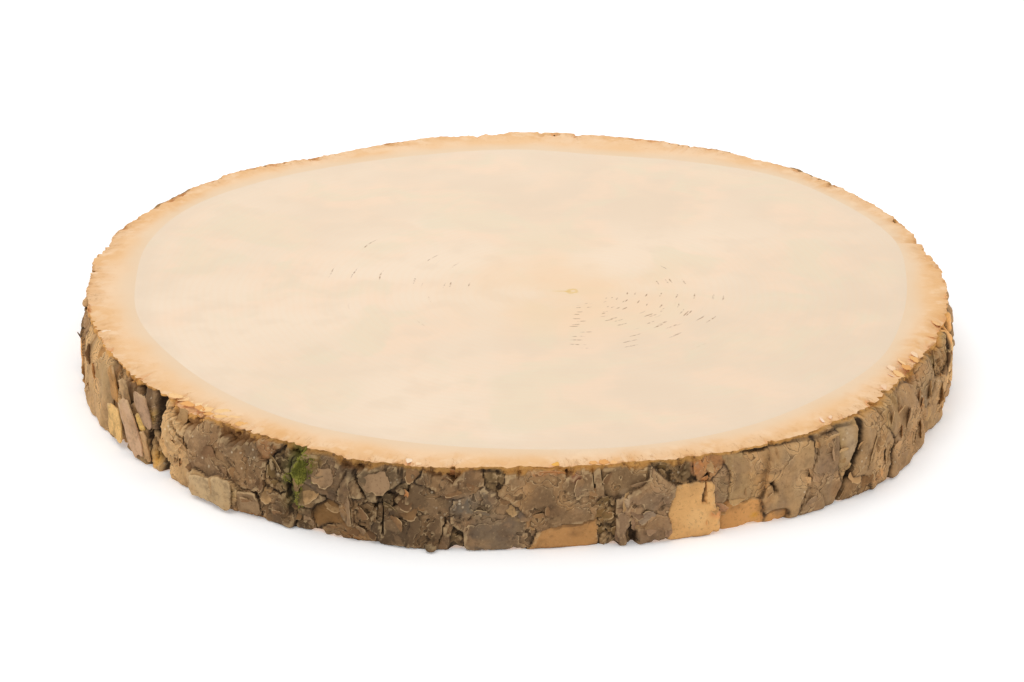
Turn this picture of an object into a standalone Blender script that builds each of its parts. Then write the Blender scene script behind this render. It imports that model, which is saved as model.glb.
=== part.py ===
"""A round slice sawn across a log: a sanded disc of wood inside the ring of flaky bark that grew on it.

The slice lies flat, its underside at z = 0 and the middle of its outline on the Z axis. Lengths here are
millimetres until the points are made, and metres in the model. A bearing is in degrees round +Z, from +X
towards +Y, so the side with the moss, which is seen best, is at 270. Along the wall, lengths grow with the
bearing, which is to the right for someone who looks at the bark from outside.
"""

import bmesh
import bpy
import numpy as np
from mathutils import noise

MM = 0.001

# Driving dimensions, in millimetres.
THICKNESS = 31.0
RIM_RADIUS = 170.0
GROWTH_GAP = 0.3
EDGE_BAND = 1.2
PITH = (22.0, -13.0)

# How far the sawn rim lies from RIM_RADIUS at every 15 degrees.
RIM_SWELLS = [0, 0, 1, 2, 1, 0, 0, -3, -7, 0, 0, 2, 0, -1, -1, 0, 0, 3, 0, 1, 5, 5, 0, 0]
RIM_ROUGHNESS = 0.7

# How thick the bark is on the sawn faces, from the rim in to the wood, at every 15 degrees.
BARK_THICKNESS = [15, 10, 11, 12, 19, 25, 23, 21, 15, 17, 13, 17, 19, 18, 19, 18, 15, 18, 14, 12, 15, 17, 13, 16]

# The plates on the side with the moss, each with its bearing, height, half length, half height, turn
# (degrees, anticlockwise from outside) and how far it stands out of the rim.
FRONT_PLATES = [
    # The big plate on the left and the four leaning slabs beside the groove.
    (198.0, 22.0, 9.0, 8.0, 10, 2.6),
    (203.5, 13.0, 15.0, 14.0, 10, 4.2),
    (210.6, 7.5, 5.5, 9.0, 15, 3.0),
    (212.5, 27.0, 5.0, 5.0, 15, 2.0),
    (215.6, 11.0, 5.0, 11.0, 15, 3.9),
    (218.0, 26.0, 4.0, 7.0, 18, 3.0),
    # The long dark plate right of the groove, with two lobes below it.
    (225.6, 26.0, 5.5, 4.5, 0, 2.2),
    (224.0, 11.0, 4.5, 9.0, 12, 3.5),
    (232.3, 19.5, 17.0, 9.0, -3, 4.2),
    (229.6, 4.5, 6.0, 4.5, 0, 4.8),
    (233.6, 7.0, 4.5, 7.5, 0, 5.2),
    (236.8, 4.0, 5.0, 4.5, 0, 3.4),
    # The broken flakes round the moss.
    (239.0, 27.0, 3.5, 4.0, 0, 1.5),
    (240.6, 19.0, 3.5, 6.0, 0, 3.0),
    (240.0, 8.0, 5.5, 5.0, 20, 3.2),
    (247.6, 23.0, 6.5, 5.0, -10, 3.8),
    (245.8, 15.0, 4.5, 4.0, 0, 3.0),
    (248.1, 8.0, 5.5, 4.0, 0, 1.8),
    (250.2, 14.0, 2.5, 10.0, 8, 4.0),
    (252.0, 12.0, 3.0, 4.0, 0, 3.4),
    (244.6, 3.5, 3.5, 4.0, 0, 3.0),
    (254.0, 25.0, 6.5, 5.0, -8, 4.2),
    (257.8, 28.0, 4.0, 3.0, 0, 2.2),
    (256.0, 18.5, 4.5, 5.0, 0, 3.0),
    (256.0, 8.5, 4.5, 6.0, 0, 3.4),
    # The brown and blue-grey plates in the middle, the small nub below them and the bare patch.
    (259.9, 12.0, 7.0, 10.0, 0, 4.0),
    (262.2, 26.5, 9.5, 4.3, 0, 3.6),
    (260.2, 1.2, 2.6, 2.4, 0, 7.0),
    (263.4, 4.0, 3.5, 4.5, 0, 2.6),
    (267.6, 12.0, 14.0, 8.5, -6, 3.6),
    (270.0, 27.0, 4.5, 3.5, 0, 3.2),
    (274.5, 20.0, 14.0, 10.5, 8, 4.4),
    (275.6, 5.0, 10.0, 5.0, 12, 2.8),
    # The rough stretch, the pale plate with its slot and the second bare patch.
    (280.2, 10.0, 3.5, 8.0, 0, 2.4),
    (282.6, 26.0, 8.0, 5.5, 12, 3.0),
    (285.0, 14.0, 8.5, 11.0, 0, 4.8),
    (283.6, 5.0, 2.2, 5.0, 0, 1.6),
    (288.7, 27.5, 6.5, 4.5, 0, 1.6),
    (290.6, 9.5, 8.5, 11.0, 0, 4.4),
    (292.4, 27.0, 3.5, 5.0, 0, 2.8),
    # The tan plates on the right, which lean the other way.
    (294.6, 17.0, 3.5, 7.0, 0, 3.6),
    (297.2, 22.0, 6.0, 9.0, 0, 3.6),
    (297.0, 5.5, 7.0, 5.0, 0, 2.6),
    (303.2, 17.0, 7.5, 12.0, -12, 4.6),
    (305.8, 4.5, 4.5, 5.0, 0, 4.2),
    (307.6, 18.0, 6.5, 11.0, -14, 4.4),
    (311.0, 26.0, 5.0, 8.0, -20, 4.0),
    (316.0, 14.0, 7.0, 12.0, -20, 4.8),
    (320.0, 26.0, 6.0, 6.0, -20, 3.0),
    (325.0, 14.0, 10.0, 12.0, -20, 5.0),
    (333.0, 22.0, 8.0, 9.0, -20, 4.0),
    (334.0, 6.0, 9.0, 7.0, -10, 4.6),
]

# How far plate edges wander and curl, and the cracks between plates: their reach is in half plate sizes.
PLATE_WANDER = 1.6
EDGE_CURL = 0.5
CRACK_REACH = 0.18
CRACK_DEPTH = 1.5

# The fissures there, each with the bearing and height of its head and of its foot, its half width, its
# depth, and the share of that depth which also cuts the rim.
FRONT_FISSURES = [
    (221.0, 31.0, 221.6, 0.0, 4.4, 7.5, 0.7),
    (215.2, 30.0, 217.4, 18.0, 1.8, 3.0, 0.0),
    (212.6, 16.0, 214.0, 0.0, 1.8, 3.0, 0.0),
    (243.4, 31.0, 243.0, 6.0, 2.4, 3.4, 0.3),
    (251.2, 28.0, 253.2, 15.0, 2.2, 3.2, 0.0),
    (254.2, 20.0, 254.6, 5.0, 1.8, 2.6, 0.0),
    (279.4, 31.0, 278.8, 23.0, 1.8, 2.6, 0.3),
    (292.6, 24.0, 292.4, 12.0, 1.8, 3.0, 0.0),
    (306.8, 28.0, 304.4, 0.0, 1.6, 2.0, 0.0),
    (313.6, 29.0, 310.4, 0.0, 2.6, 4.0, 0.0),
]

# The rest of the wall, from the first bearing on to the second, where plates and fissures are scattered.
BACK_ARC = (338.0, 554.0)
BACK_PLATE_TRIES = 1500
BACK_FISSURES = 9
SEED = 7

# The mesh: steps round the slice, rows up the wall, and every how many steps the disc has a corner.
STEPS_ROUND = 336
ROWS_UP = 11
DISC_STEP = 3


def round_the_slice(values, bearings):
    """A smooth closed curve through values at even bearings, read at other bearings."""
    count = len(values)
    place = (np.asarray(bearings) % 360) * count / 360
    index = place.astype(int)
    part = place - index
    before, here, after, last = (np.take(values, index + shift, mode="wrap") for shift in (-1, 0, 1, 2))
    slope, next_slope = (after - before) / 2, (last - here) / 2
    return (
        (2 * part**3 - 3 * part**2 + 1) * here
        + (part**3 - 2 * part**2 + part) * slope
        + (3 * part**2 - 2 * part**3) * after
        + (part**3 - part**2) * next_slope
    )


def roughness(bearings, heights, size, seed):
    """Smooth noise between about -1 and 1 over the wall, its lumps size millimetres across."""
    angles = np.radians(bearings)
    x, y, z = RIM_RADIUS * np.cos(angles), RIM_RADIUS * np.sin(angles), np.asarray(heights) + 100.0 * seed
    points = np.stack(np.broadcast_arrays(x, y, z), axis=-1) / size
    values = [noise.noise(point) for point in points.reshape(-1, 3)]
    return 1.6 * np.array(values).reshape(points.shape[:-1])


def along_the_wall(bearings, start):
    """The way round the rim in millimetres from the bearing start, the shorter way."""
    return np.radians((np.asarray(bearings) - start + 180) % 360 - 180) * RIM_RADIUS


def scattered_plates(random):
    """Plates for the rest of the wall, each tried at a random place and kept where it has room."""
    plates = []
    for _ in range(BACK_PLATE_TRIES):
        bearing, height = random.uniform(*BACK_ARC), random.uniform(1, THICKNESS - 1)
        half_length, half_height = random.uniform(5, 13), random.uniform(4, 9)
        turn, rise = random.uniform(-25, 25), random.uniform(1.2, 4.6)
        room = [
            (along_the_wall(bearing, other[0]) / (half_length + other[2])) ** 2
            + ((height - other[1]) / (half_height + other[3])) ** 2
            for other in plates
        ]
        if min(room, default=1) > 0.45:
            plates.append((bearing, height, half_length, half_height, turn, rise))
    return plates


def scattered_fissures(random):
    """Upright fissures for the rest of the wall, evenly spread and then shifted at random."""
    start, end = BACK_ARC
    fissures = []
    for number in range(BACK_FISSURES):
        head = start + (end - start) * (number + random.uniform(0.2, 0.8)) / BACK_FISSURES
        top, foot = random.uniform(22, 31), random.uniform(0, 8)
        half_width, depth = random.uniform(1.8, 3.2), random.uniform(2.2, 4.5)
        fissures.append((head, top, head + random.uniform(-3, 3), foot, half_width, depth, 0.3))
    return fissures


def plate_relief(bearings, heights, plates):
    """How far the plates stand out of the rim. Each point belongs to the plate whose middle is nearest,
    counted in that plate's own half sizes, and a crack runs where two plates are equally near."""
    up = heights + PLATE_WANDER * roughness(bearings, heights, 9, 1)
    shift = PLATE_WANDER * roughness(bearings, heights, 9, 2)
    nearness, rises = [], []
    for bearing, height, half_length, half_height, turn, rise in plates:
        turned = np.exp(-1j * np.radians(turn))
        local = (along_the_wall(bearings, bearing) + shift + 1j * (up - height)) * turned
        corner = (np.abs(local.real / half_length) ** 3 + np.abs(local.imag / half_height) ** 3) ** (1 / 3)
        nearness.append(corner)
        rises.append(rise + EDGE_CURL * corner)
    nearness, rises = np.array(nearness), np.array(rises)
    order = np.argsort(nearness, axis=0)[:2]
    first, second = np.take_along_axis(nearness, order, axis=0)
    rise = np.take_along_axis(rises, order[:1], axis=0)[0]
    crack = np.clip(1 - (second - first) / CRACK_REACH, 0, 1)
    return rise - CRACK_DEPTH * crack


def fissure_depth(bearings, heights, fissures):
    """How deep the fissures cut into the wall, and how deep they cut into the rim."""
    deepest, at_rim = np.zeros(np.shape(heights)), np.zeros(np.shape(heights))
    for head, top, foot, bottom, half_width, depth, rim_share in fissures:
        share = (heights - bottom) / (top - bottom)
        middle = foot + (head - foot) * np.clip(share, 0, 1)
        across = along_the_wall(bearings, middle) + 0.8 * roughness(bearings, heights, 8, 3)
        past_end = np.maximum(np.abs(heights - (top + bottom) / 2) - (top - bottom) / 2, 0)
        cut = depth * np.exp(-((across / half_width) ** 2) - (past_end / half_width) ** 2)
        deepest = np.maximum(deepest, cut)
        at_rim = np.maximum(at_rim, cut * rim_share)
    return deepest, at_rim


def wall_radius(bearings, heights, plates, fissures):
    """The bark's outer radius: the rim at the top, and plates and fissures below the shoulder."""
    rim = RIM_RADIUS + round_the_slice(RIM_SWELLS, bearings)
    rim = rim + RIM_ROUGHNESS * roughness(bearings, THICKNESS, 7, 4)
    shoulder = np.sqrt(1 - (heights / THICKNESS) ** 10)
    worn_foot = 1 - 0.3 * np.exp(-heights / 0.8)
    depth, rim_depth = fissure_depth(bearings, heights, fissures)
    relief = plate_relief(bearings, heights, plates) + 0.4 * roughness(bearings, heights, 5, 5) - depth
    return rim - rim_depth * (1 - shoulder) + relief * shoulder * worn_foot


def points_at(bearings, radii, height):
    """Points round the slice, in metres."""
    angles = np.radians(bearings)
    heights = np.full(len(bearings), height)
    return np.stack([radii * np.cos(angles), radii * np.sin(angles), heights], axis=-1) * MM


def wood_radius(bearings):
    """The disc's radius: the sawn rim less the bark's thickness."""
    return RIM_RADIUS + round_the_slice(np.subtract(RIM_SWELLS, BARK_THICKNESS), bearings)


def material(name, colour, roughness_value):
    """A Principled material of one colour, given in linear light."""
    finish = bpy.data.materials.new(name)
    finish.use_nodes = True
    shader = finish.node_tree.nodes["Principled BSDF"]
    shader.inputs["Base Color"].default_value = (*colour, 1)
    shader.inputs["Roughness"].default_value = roughness_value
    shader.inputs["Metallic"].default_value = 0
    return finish


def add_object(name, bm, finish, sharp_angle):
    """Puts a bmesh in the scene as an object with one material, its faces pointing out."""
    bmesh.ops.recalc_face_normals(bm, faces=bm.faces)
    mesh = bpy.data.meshes.new(name)
    bm.to_mesh(mesh)
    bm.free()
    mesh.shade_smooth()
    mesh.set_sharp_from_angle(angle=np.radians(sharp_angle))
    mesh.materials.append(finish)
    bpy.context.scene.collection.objects.link(bpy.data.objects.new(name, mesh))


def build_wood():
    """The sanded disc: a fan of faces round the pith, extruded to the slice's thickness."""
    bm = bmesh.new()
    corners = STEPS_ROUND // DISC_STEP
    bmesh.ops.create_circle(bm, cap_ends=True, cap_tris=True, segments=corners, radius=1)
    for vertex in bm.verts:
        if vertex.co.length < 0.5:
            vertex.co = (PITH[0] * MM, PITH[1] * MM, 0)
            continue
        bearing = np.degrees(np.arctan2(vertex.co.y, vertex.co.x))
        vertex.co = points_at([bearing], wood_radius([bearing]), 0)[0]
    raised = bmesh.ops.extrude_face_region(bm, geom=bm.faces[:], use_keep_orig=True)
    corners_raised = [item for item in raised["geom"] if isinstance(item, bmesh.types.BMVert)]
    bmesh.ops.translate(bm, verts=corners_raised, vec=(0, 0, THICKNESS * MM))
    add_object("wood", bm, material("sanded_wood", (0.89, 0.70, 0.52), 0.62), 30)


def build_bark():
    """The ring of bark: rings of points up its outer wall, then down its inner wall, joined all round."""
    random = np.random.default_rng(SEED)
    plates = FRONT_PLATES + scattered_plates(random)
    fissures = FRONT_FISSURES + scattered_fissures(random)
    bearings = np.arange(STEPS_ROUND) * 360 / STEPS_ROUND
    between_edges = np.linspace(EDGE_BAND, THICKNESS - EDGE_BAND, ROWS_UP)
    rows = [0.0, *between_edges, THICKNESS]
    rings = []
    for row in rows:
        outer = wall_radius(bearings, np.full(STEPS_ROUND, row), plates, fissures)
        rings.append(points_at(bearings, outer, row))
    inner = wood_radius(bearings) + GROWTH_GAP
    rings += [points_at(bearings, inner, THICKNESS), points_at(bearings, inner, 0.0)]
    bm = bmesh.new()
    loops = [[bm.verts.new(point) for point in ring] for ring in rings]
    for lower, upper in zip(loops, loops[1:] + loops[:1]):
        for here in range(STEPS_ROUND):
            ahead = (here + 1) % STEPS_ROUND
            bm.faces.new((lower[here], lower[ahead], upper[ahead], upper[here]))
    add_object("bark", bm, material("flaky_bark", (0.25, 0.15, 0.07), 0.88), 40)


for leftover in list(bpy.data.objects):
    bpy.data.objects.remove(leftover)
build_wood()
build_bark()
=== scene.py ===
import bpy
import numpy as np
from mathutils import Matrix, Vector, noise


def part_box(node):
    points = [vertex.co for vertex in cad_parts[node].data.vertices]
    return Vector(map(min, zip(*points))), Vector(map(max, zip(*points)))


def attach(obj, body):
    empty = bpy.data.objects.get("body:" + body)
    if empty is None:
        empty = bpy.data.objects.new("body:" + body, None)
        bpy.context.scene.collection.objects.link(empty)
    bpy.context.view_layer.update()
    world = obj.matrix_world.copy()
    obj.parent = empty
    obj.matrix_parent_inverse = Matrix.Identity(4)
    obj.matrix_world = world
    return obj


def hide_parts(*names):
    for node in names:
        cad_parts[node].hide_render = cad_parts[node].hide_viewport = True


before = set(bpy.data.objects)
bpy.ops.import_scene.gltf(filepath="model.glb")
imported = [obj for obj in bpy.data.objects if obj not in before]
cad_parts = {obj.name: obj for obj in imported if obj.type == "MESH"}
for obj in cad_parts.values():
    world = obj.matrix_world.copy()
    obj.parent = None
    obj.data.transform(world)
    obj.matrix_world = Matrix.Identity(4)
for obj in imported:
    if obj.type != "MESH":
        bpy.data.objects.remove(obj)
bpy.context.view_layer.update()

# The slice lies on its lower sawn face, its middle on the Z axis. A bearing is in degrees round +Z from +X
# towards +Y, so the mossy side, which the camera looks at, is at 270. Shapes are worked out in millimetres,
# as a sawyer would give them, and become metres when their points are made.


# The wood. One disc of pale hardwood, grown in rings round its pith, sawn across and sanded smooth by hand.
# Its edge is the growth layer, where the wood turns greyish and a little see-through under the bark.
MM = 0.001
RIM_RADIUS = 170.0
RIM_SWELLS = [0, 0, 1, 2, 1, 0, 0, -3, -7, 0, 0, 2, 0, -1, -1, 0, 0, 3, 0, 1, 5, 5, 0, 0]
BARK_THICKNESS = [
    15, 10, 11, 12, 19, 25, 23, 21, 15, 17, 13, 17, 19, 18, 19, 18, 15, 18, 14, 12, 15, 17, 13, 16,
]
PITH = (22.0, -13.0)
THICKNESS = float(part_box("wood")[1][2]) / MM
WOOD_STEPS = 350
WOOD_RINGS = 44
SANDING_WAVE = 0.07
RINGS_A_METRE = 105.0
ARC_REACH = 0.035
ARC_MARK_LENGTH = 0.0125
ARC_MARK_WIDTH = 0.0022
DOT_AREAS = [
    ((-48, 18), 40, 0.22), ((-28, -4), 18, 0.3), ((-48, -34), 34, 0.05), ((64, 2), 16, 0.35),
    ((60, -50), 50, 0.06),
]
CREAM = (242, 219, 192)
CREAM_GREY = (232, 208, 180)
CREAM_PINK = (244, 214, 184)
GROWTH_GREY = (229, 205, 176)
CREAM_GREEN = (230, 214, 184)
HEART_GLOW = (241, 204, 160)
PITH_YELLOW = (228, 190, 116)
MARK_BROWN = (154, 106, 66)


def linear(colour):
    """A colour as a paint chart gives it, in linear light and with alpha."""
    parts = np.array(colour) / 255
    parts = np.where(parts > 0.04045, ((parts + 0.055) / 1.055) ** 2.4, parts / 12.92)
    return (*[float(part) for part in parts], 1.0)


class Wire:
    """A link in a material. Sums on wires add Math nodes, and node() adds a node of any other kind."""

    def __init__(self, tree, socket=None):
        self.tree, self.socket = tree, socket

    def node(self, kind, settings, sockets, output=0):
        made = self.tree.nodes.new(kind)
        for name, value in settings.items():
            setattr(made, name, value)
        for name, given in sockets.items():
            if isinstance(given, Wire):
                self.tree.links.new(given.socket, made.inputs[name])
            else:
                made.inputs[name].default_value = given
        return Wire(self.tree, made.outputs[output])

    def math(self, operation, *numbers):
        return self.node("ShaderNodeMath", {"operation": operation}, dict(enumerate(numbers)))

    def __add__(self, other):
        return self.math("ADD", self, other)

    def __sub__(self, other):
        return self.math("SUBTRACT", self, other)

    def __rsub__(self, other):
        return self.math("SUBTRACT", other, self)

    def __mul__(self, other):
        return self.math("MULTIPLY", self, other)

    def __truediv__(self, other):
        return self.math("DIVIDE", self, other)

    __radd__, __rmul__ = __add__, __mul__

    def ease(self, low, high):
        """0 below low, 1 above high, and smooth between. With low above high it falls instead."""
        reach = {"Value": self, "From Min": low, "From Max": high}
        return self.node("ShaderNodeMapRange", {"interpolation_type": "SMOOTHSTEP"}, reach)

    def mix(self, colour, other):
        """colour where this wire is 0 and other where it is 1."""
        return self.node("ShaderNodeMix", {"data_type": "RGBA"}, {0: self, 6: colour, 7: other}, 2)

    def vector(self, operation, *given, output=0):
        """Arithmetic on vectors. The second thing given is a vector, or the number to scale by."""
        names = (0, "Scale" if operation == "SCALE" else 1)
        return self.node("ShaderNodeVectorMath", {"operation": operation}, dict(zip(names, given)), output)

    def axis(self, number):
        return self.node("ShaderNodeSeparateXYZ", {}, {"Vector": self}, number)

    def noise(self, place, size, detail=2.0, **more):
        """Noise between 0 and 1 whose lumps are size metres across."""
        sockets = {"Vector": place, "Scale": 1 / size, "Detail": detail, **more}
        return self.node("ShaderNodeTexNoise", {}, sockets)

    def attribute(self, name, output="Fac"):
        return self.node("ShaderNodeAttribute", {"attribute_name": name}, {}, output)

    def bump(self, height, strength, distance):
        return self.node("ShaderNodeBump", {}, {"Height": height, "Strength": strength, "Distance": distance})


def new_finish(name):
    """A material, its shader, a wire that starts in its tree, and one that holds the place in metres."""
    finish = bpy.data.materials.new(name)
    finish.use_nodes = True
    wire = Wire(finish.node_tree)
    place = wire.node("ShaderNodeTexCoord", {}, {}, "Object")
    return finish, finish.node_tree.nodes["Principled BSDF"], wire, place


def painted(colour, coats):
    """A colour with coats over it, from the lowest up, each as far as its wire says."""
    for share, coat in coats:
        colour = share.mix(colour, coat if isinstance(coat, Wire) else linear(coat))
    return colour


def plug(shader, **sockets):
    """Feeds the shader's sockets, which are named with _ for a space."""
    for name, given in sockets.items():
        socket = shader.inputs[name.replace("_", " ")]
        if isinstance(given, Wire):
            given.tree.links.new(given.socket, socket)
        else:
            socket.default_value = given


def round_the_slice(values, bearings):
    """A smooth closed curve through values at even bearings, read at other bearings."""
    place = (np.asarray(bearings) % 360) * len(values) / 360
    index = place.astype(int)
    part = place - index
    before, here, after, last = (np.take(values, index + shift, mode="wrap") for shift in (-1, 0, 1, 2))
    slope, next_slope = (after - before) / 2, (last - here) / 2
    return (
        (2 * part**3 - 3 * part**2 + 1) * here
        + (part**3 - 2 * part**2 + part) * slope
        + (3 * part**2 - 2 * part**3) * after
        + (part**3 - part**2) * next_slope
    )


def wood_radius(bearings):
    return RIM_RADIUS + round_the_slice(np.subtract(RIM_SWELLS, BARK_THICKNESS), bearings)


def lumps(points, size, seed):
    """Smooth noise between about -1 and 1 at points in millimetres, its lumps size across."""
    moved = (points + (0, 0, 100.0 * seed)) / size
    values = [noise.noise(point) for point in moved.reshape(-1, 3)]
    return 1.6 * np.array(values).reshape(points.shape[:-1])


def layered(points, *layers):
    """A sum of lumps, each layer given as its height, size and seed."""
    return sum(height * lumps(points, size, seed) for height, size, seed in layers)


def ring_points(bearings, radii, heights):
    """Points round the slice in millimetres, for arrays of any one shape."""
    angles = np.radians(bearings)
    parts = np.broadcast_arrays(radii * np.cos(angles), radii * np.sin(angles), heights)
    return np.stack(parts, axis=-1)


def loft(name, rings, closed, caps=False):
    """A mesh through rings of points in millimetres, each joined to the next and, if closed, the last to the
    first. Rings run anticlockwise seen from above, from the outside of the foot up over the top."""
    count, steps = rings.shape[:2]
    index = np.arange(count * steps).reshape(count, steps)
    lower, upper = (index, np.roll(index, -1, axis=0)) if closed else (index[:-1], index[1:])
    faces = np.stack([lower, np.roll(lower, -1, axis=1), np.roll(upper, -1, axis=1), upper], axis=-1)
    faces = faces.reshape(-1, 4).tolist()
    if caps:
        faces += [index[0, ::-1].tolist(), index[-1].tolist()]
    mesh = bpy.data.meshes.new(name)
    mesh.from_pydata((rings.reshape(-1, 3) * MM).tolist(), [], faces)
    mesh.shade_smooth()
    piece = bpy.data.objects.new(name, mesh)
    bpy.context.scene.collection.objects.link(piece)
    return piece


def store(piece, name, values):
    """Keeps a number, or a colour, for each point of the piece."""
    kind, key, width = ("FLOAT", "value", 1) if np.ndim(values) == 1 else ("FLOAT_COLOR", "color", 4)
    layer = piece.data.attributes.new(name, kind, "POINT")
    layer.data.foreach_set(key, np.ascontiguousarray(values, np.float32).reshape(-1, width).ravel())


def sanded_wood():
    finish, shader, wire, place = new_finish("sanded_wood")
    pith_place = (PITH[0] * MM, PITH[1] * MM, THICKNESS * MM)
    pith = wire.vector("DISTANCE", place, pith_place, output="Value")
    glow = pith.ease(0.07, 0.004) * wire.noise(place, 0.035, 3.0).ease(0.2, 0.6)
    warped = wire.node("ShaderNodeCombineXYZ", {}, {"X": pith + wire.noise(place, 0.06) * 0.012})
    rings = wire.node("ShaderNodeTexWave", {"wave_profile": "SIN", "bands_direction": "X"},
                      {"Vector": warped, "Scale": RINGS_A_METRE, "Distortion": 0.0}, 1)
    grey = wire.attribute("from_bark").ease(0.010, 0.001) * wire.noise(place, 0.02, 3.0).ease(0.2, 0.7)
    colour = painted(linear(CREAM), [
        (wire.noise(place, 0.11, 3.0, Roughness=0.55).ease(0.35, 0.68), CREAM_GREY),
        (wire.noise(place, 0.034, 4.0).ease(0.42, 0.62) * 0.7, CREAM_PINK),
        (wire.noise(place, 0.035, 4.0, Distortion=0.8).ease(0.48, 0.66) * 0.6, CREAM_GREEN),
        (wire.noise(place, 0.016, 3.0).ease(0.48, 0.68) * 0.45, CREAM_GREY),
        (glow * 0.6, HEART_GLOW), (rings.ease(0.2, 1.0) * 0.07, HEART_GLOW), (grey * 0.75, GROWTH_GREY),
    ])

    # The pith is a small yellow ring with a streak on its left.
    off = wire.vector("SUBTRACT", place, pith_place)
    aside, behind = off.axis(0), wire.math("ABSOLUTE", off.axis(1))
    streak = behind.ease(0.0009, 0.0003) * aside.ease(-0.0095, -0.004) * aside.ease(0.001, -0.001)
    blot = pith + (wire.noise(place, 0.0022, 3.0) - 0.5) * 0.0028
    spot = blot.ease(0.0031, 0.0018) * blot.ease(0.0002, 0.0016) + streak * 0.7

    # Short dark vessels lie along the rings below and right of the pith, and as stray dots elsewhere.
    heading = wire.vector("NORMALIZE", off)
    right, back = heading.axis(0), heading.axis(1)
    wavy = pith + wire.noise(place, 0.03) * 0.006 + wire.noise(place, 0.004) * 0.0008
    turned = wire.math("ARCTAN2", right, back * -1.0)
    arc = {"X": turned * (ARC_REACH / ARC_MARK_LENGTH), "Y": wavy / ARC_MARK_WIDTH}
    fan = (right * 0.66 - back * 0.75).ease(0.55, 0.9) * pith.ease(0.010, 0.016) * pith.ease(0.072, 0.042)
    where = fan * 0.62
    for (x, y), reach, share in DOT_AREAS:
        away = wire.vector("DISTANCE", place, (x * MM, y * MM, THICKNESS * MM), output="Value")
        where = away.ease(reach * MM, reach * MM * 0.5) * share + where
    flat_cells = {"voronoi_dimensions": "2D"}
    cells = {"Vector": wire.node("ShaderNodeCombineXYZ", {}, arc), "Scale": 1.0, "Randomness": 0.9}
    chance = wire.node("ShaderNodeTexVoronoi", flat_cells, cells, "Color")
    chance = wire.node("ShaderNodeSeparateColor", {}, {"Color": chance})
    marks = wire.node("ShaderNodeTexVoronoi", flat_cells, cells) - wire.noise(place, 0.006, 2.0) * 0.16
    marks = marks.ease(0.11, 0.03) * (where + 0.02 - chance).ease(0.0, 0.16)
    marks = marks * wire.noise(place, 0.0018, 3.0).ease(0.34, 0.6)
    colour = painted(colour, [(spot * 0.7, PITH_YELLOW), (marks * 0.7, MARK_BROWN)])
    fine = wire.noise(place, 0.0011, 4.0, Roughness=0.7)
    plug(shader, Base_Color=colour, Roughness=0.52 + fine * 0.2 + grey * -0.1, Specular_IOR_Level=0.3)
    plug(shader, Normal=wire.bump(fine * 0.5 - marks, 0.12, 0.0004))
    return finish


around = np.arange(WOOD_STEPS) * 360 / WOOD_STEPS
edge = wood_radius(around)
inward_share = np.linspace(0.02, 1.0, WOOD_RINGS) ** 0.8
middle = np.array(PITH)
outline = ring_points(around, edge, 0.0)[:, :2]
top_rings = []
for share in inward_share[::-1]:
    flat = middle + (outline - middle) * share
    ring = np.column_stack([flat, np.full(WOOD_STEPS, THICKNESS)])
    ring[:, 2] -= SANDING_WAVE * (1 + lumps(ring, 34, 1)) * min(1, (1 - share) * 12)
    top_rings.append(ring)
bottom = [middle + (outline - middle) * share for share in (0.02, 0.5, 1.0)]
bottom_rings = [np.column_stack([flat, np.zeros(WOOD_STEPS)]) for flat in bottom]
rings = np.array([*bottom_rings, *top_rings])
wood = loft("wood_disc", rings, closed=False, caps=True)
x, y, _ = rings.reshape(-1, 3).T
from_bark = wood_radius(np.degrees(np.arctan2(y, x))) - np.hypot(x, y)
store(wood, "from_bark", from_bark * MM)
wood.data.materials.append(sanded_wood())
wood.data.set_sharp_from_angle(angle=np.radians(40))
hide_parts("wood")
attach(wood, "root")


# The bark. One ring grown on the wood, sawn with it above and below. Its outer wall is plates of dead bark,
# each built of thin sheets that flake off, with cracks and fissures between them down to the tan inner bark.
FRONT_ARC = (188.0, 352.0)
FRONT_STEPS = 830
BACK_STEPS = 600
WALL_ROWS = 52
SAWN_DEPTHS = [0.4, 0.9, 1.6, 2.5, 3.6, 5, 6.8, 9]
LEAST_SAWN = 1.5
BACK_ARC = (338.0, 554.0)
BACK_BEARING = 90
BACK_TRIES = 1500
LEAST_ROOM = 0.45
BACK_FISSURES = 9
WALL_SWELLS = [
    -2.4, -1.8, -0.8, 2.6, 2.6, 0.6, -0.8, 0.6, -0.6, 3.2, 1.2, -2.2, -2.2, -0.6, 0.5, 1, 2.2, 0.2, 0.2, 0.2,
    -1.4, 2.6, 1.4, 0.8,
]
SEED = 7
TONES = {
    "tan": (184, 144, 96), "brown": (138, 102, 66), "dark": (112, 82, 52), "blue": (120, 102, 80),
    "umber": (120, 88, 58), "grey": (156, 124, 90), "mauve": (158, 124, 90), "pale": (192, 152, 102),
    "olive": (124, 96, 56), "bare": (230, 174, 108), "low": (192, 140, 82), "rough": (118, 90, 52),
    "rust": (188, 126, 74),
}
TORN = (206, 150, 80)
TORN_DARK = (134, 92, 50)
# The dark of painted shade: cracks, fissures, hollows, under edges that stand out, foot of each flaking step.
CRACK_SHADE = (46, 32, 20)
WEATHERED = (116, 94, 68)

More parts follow.
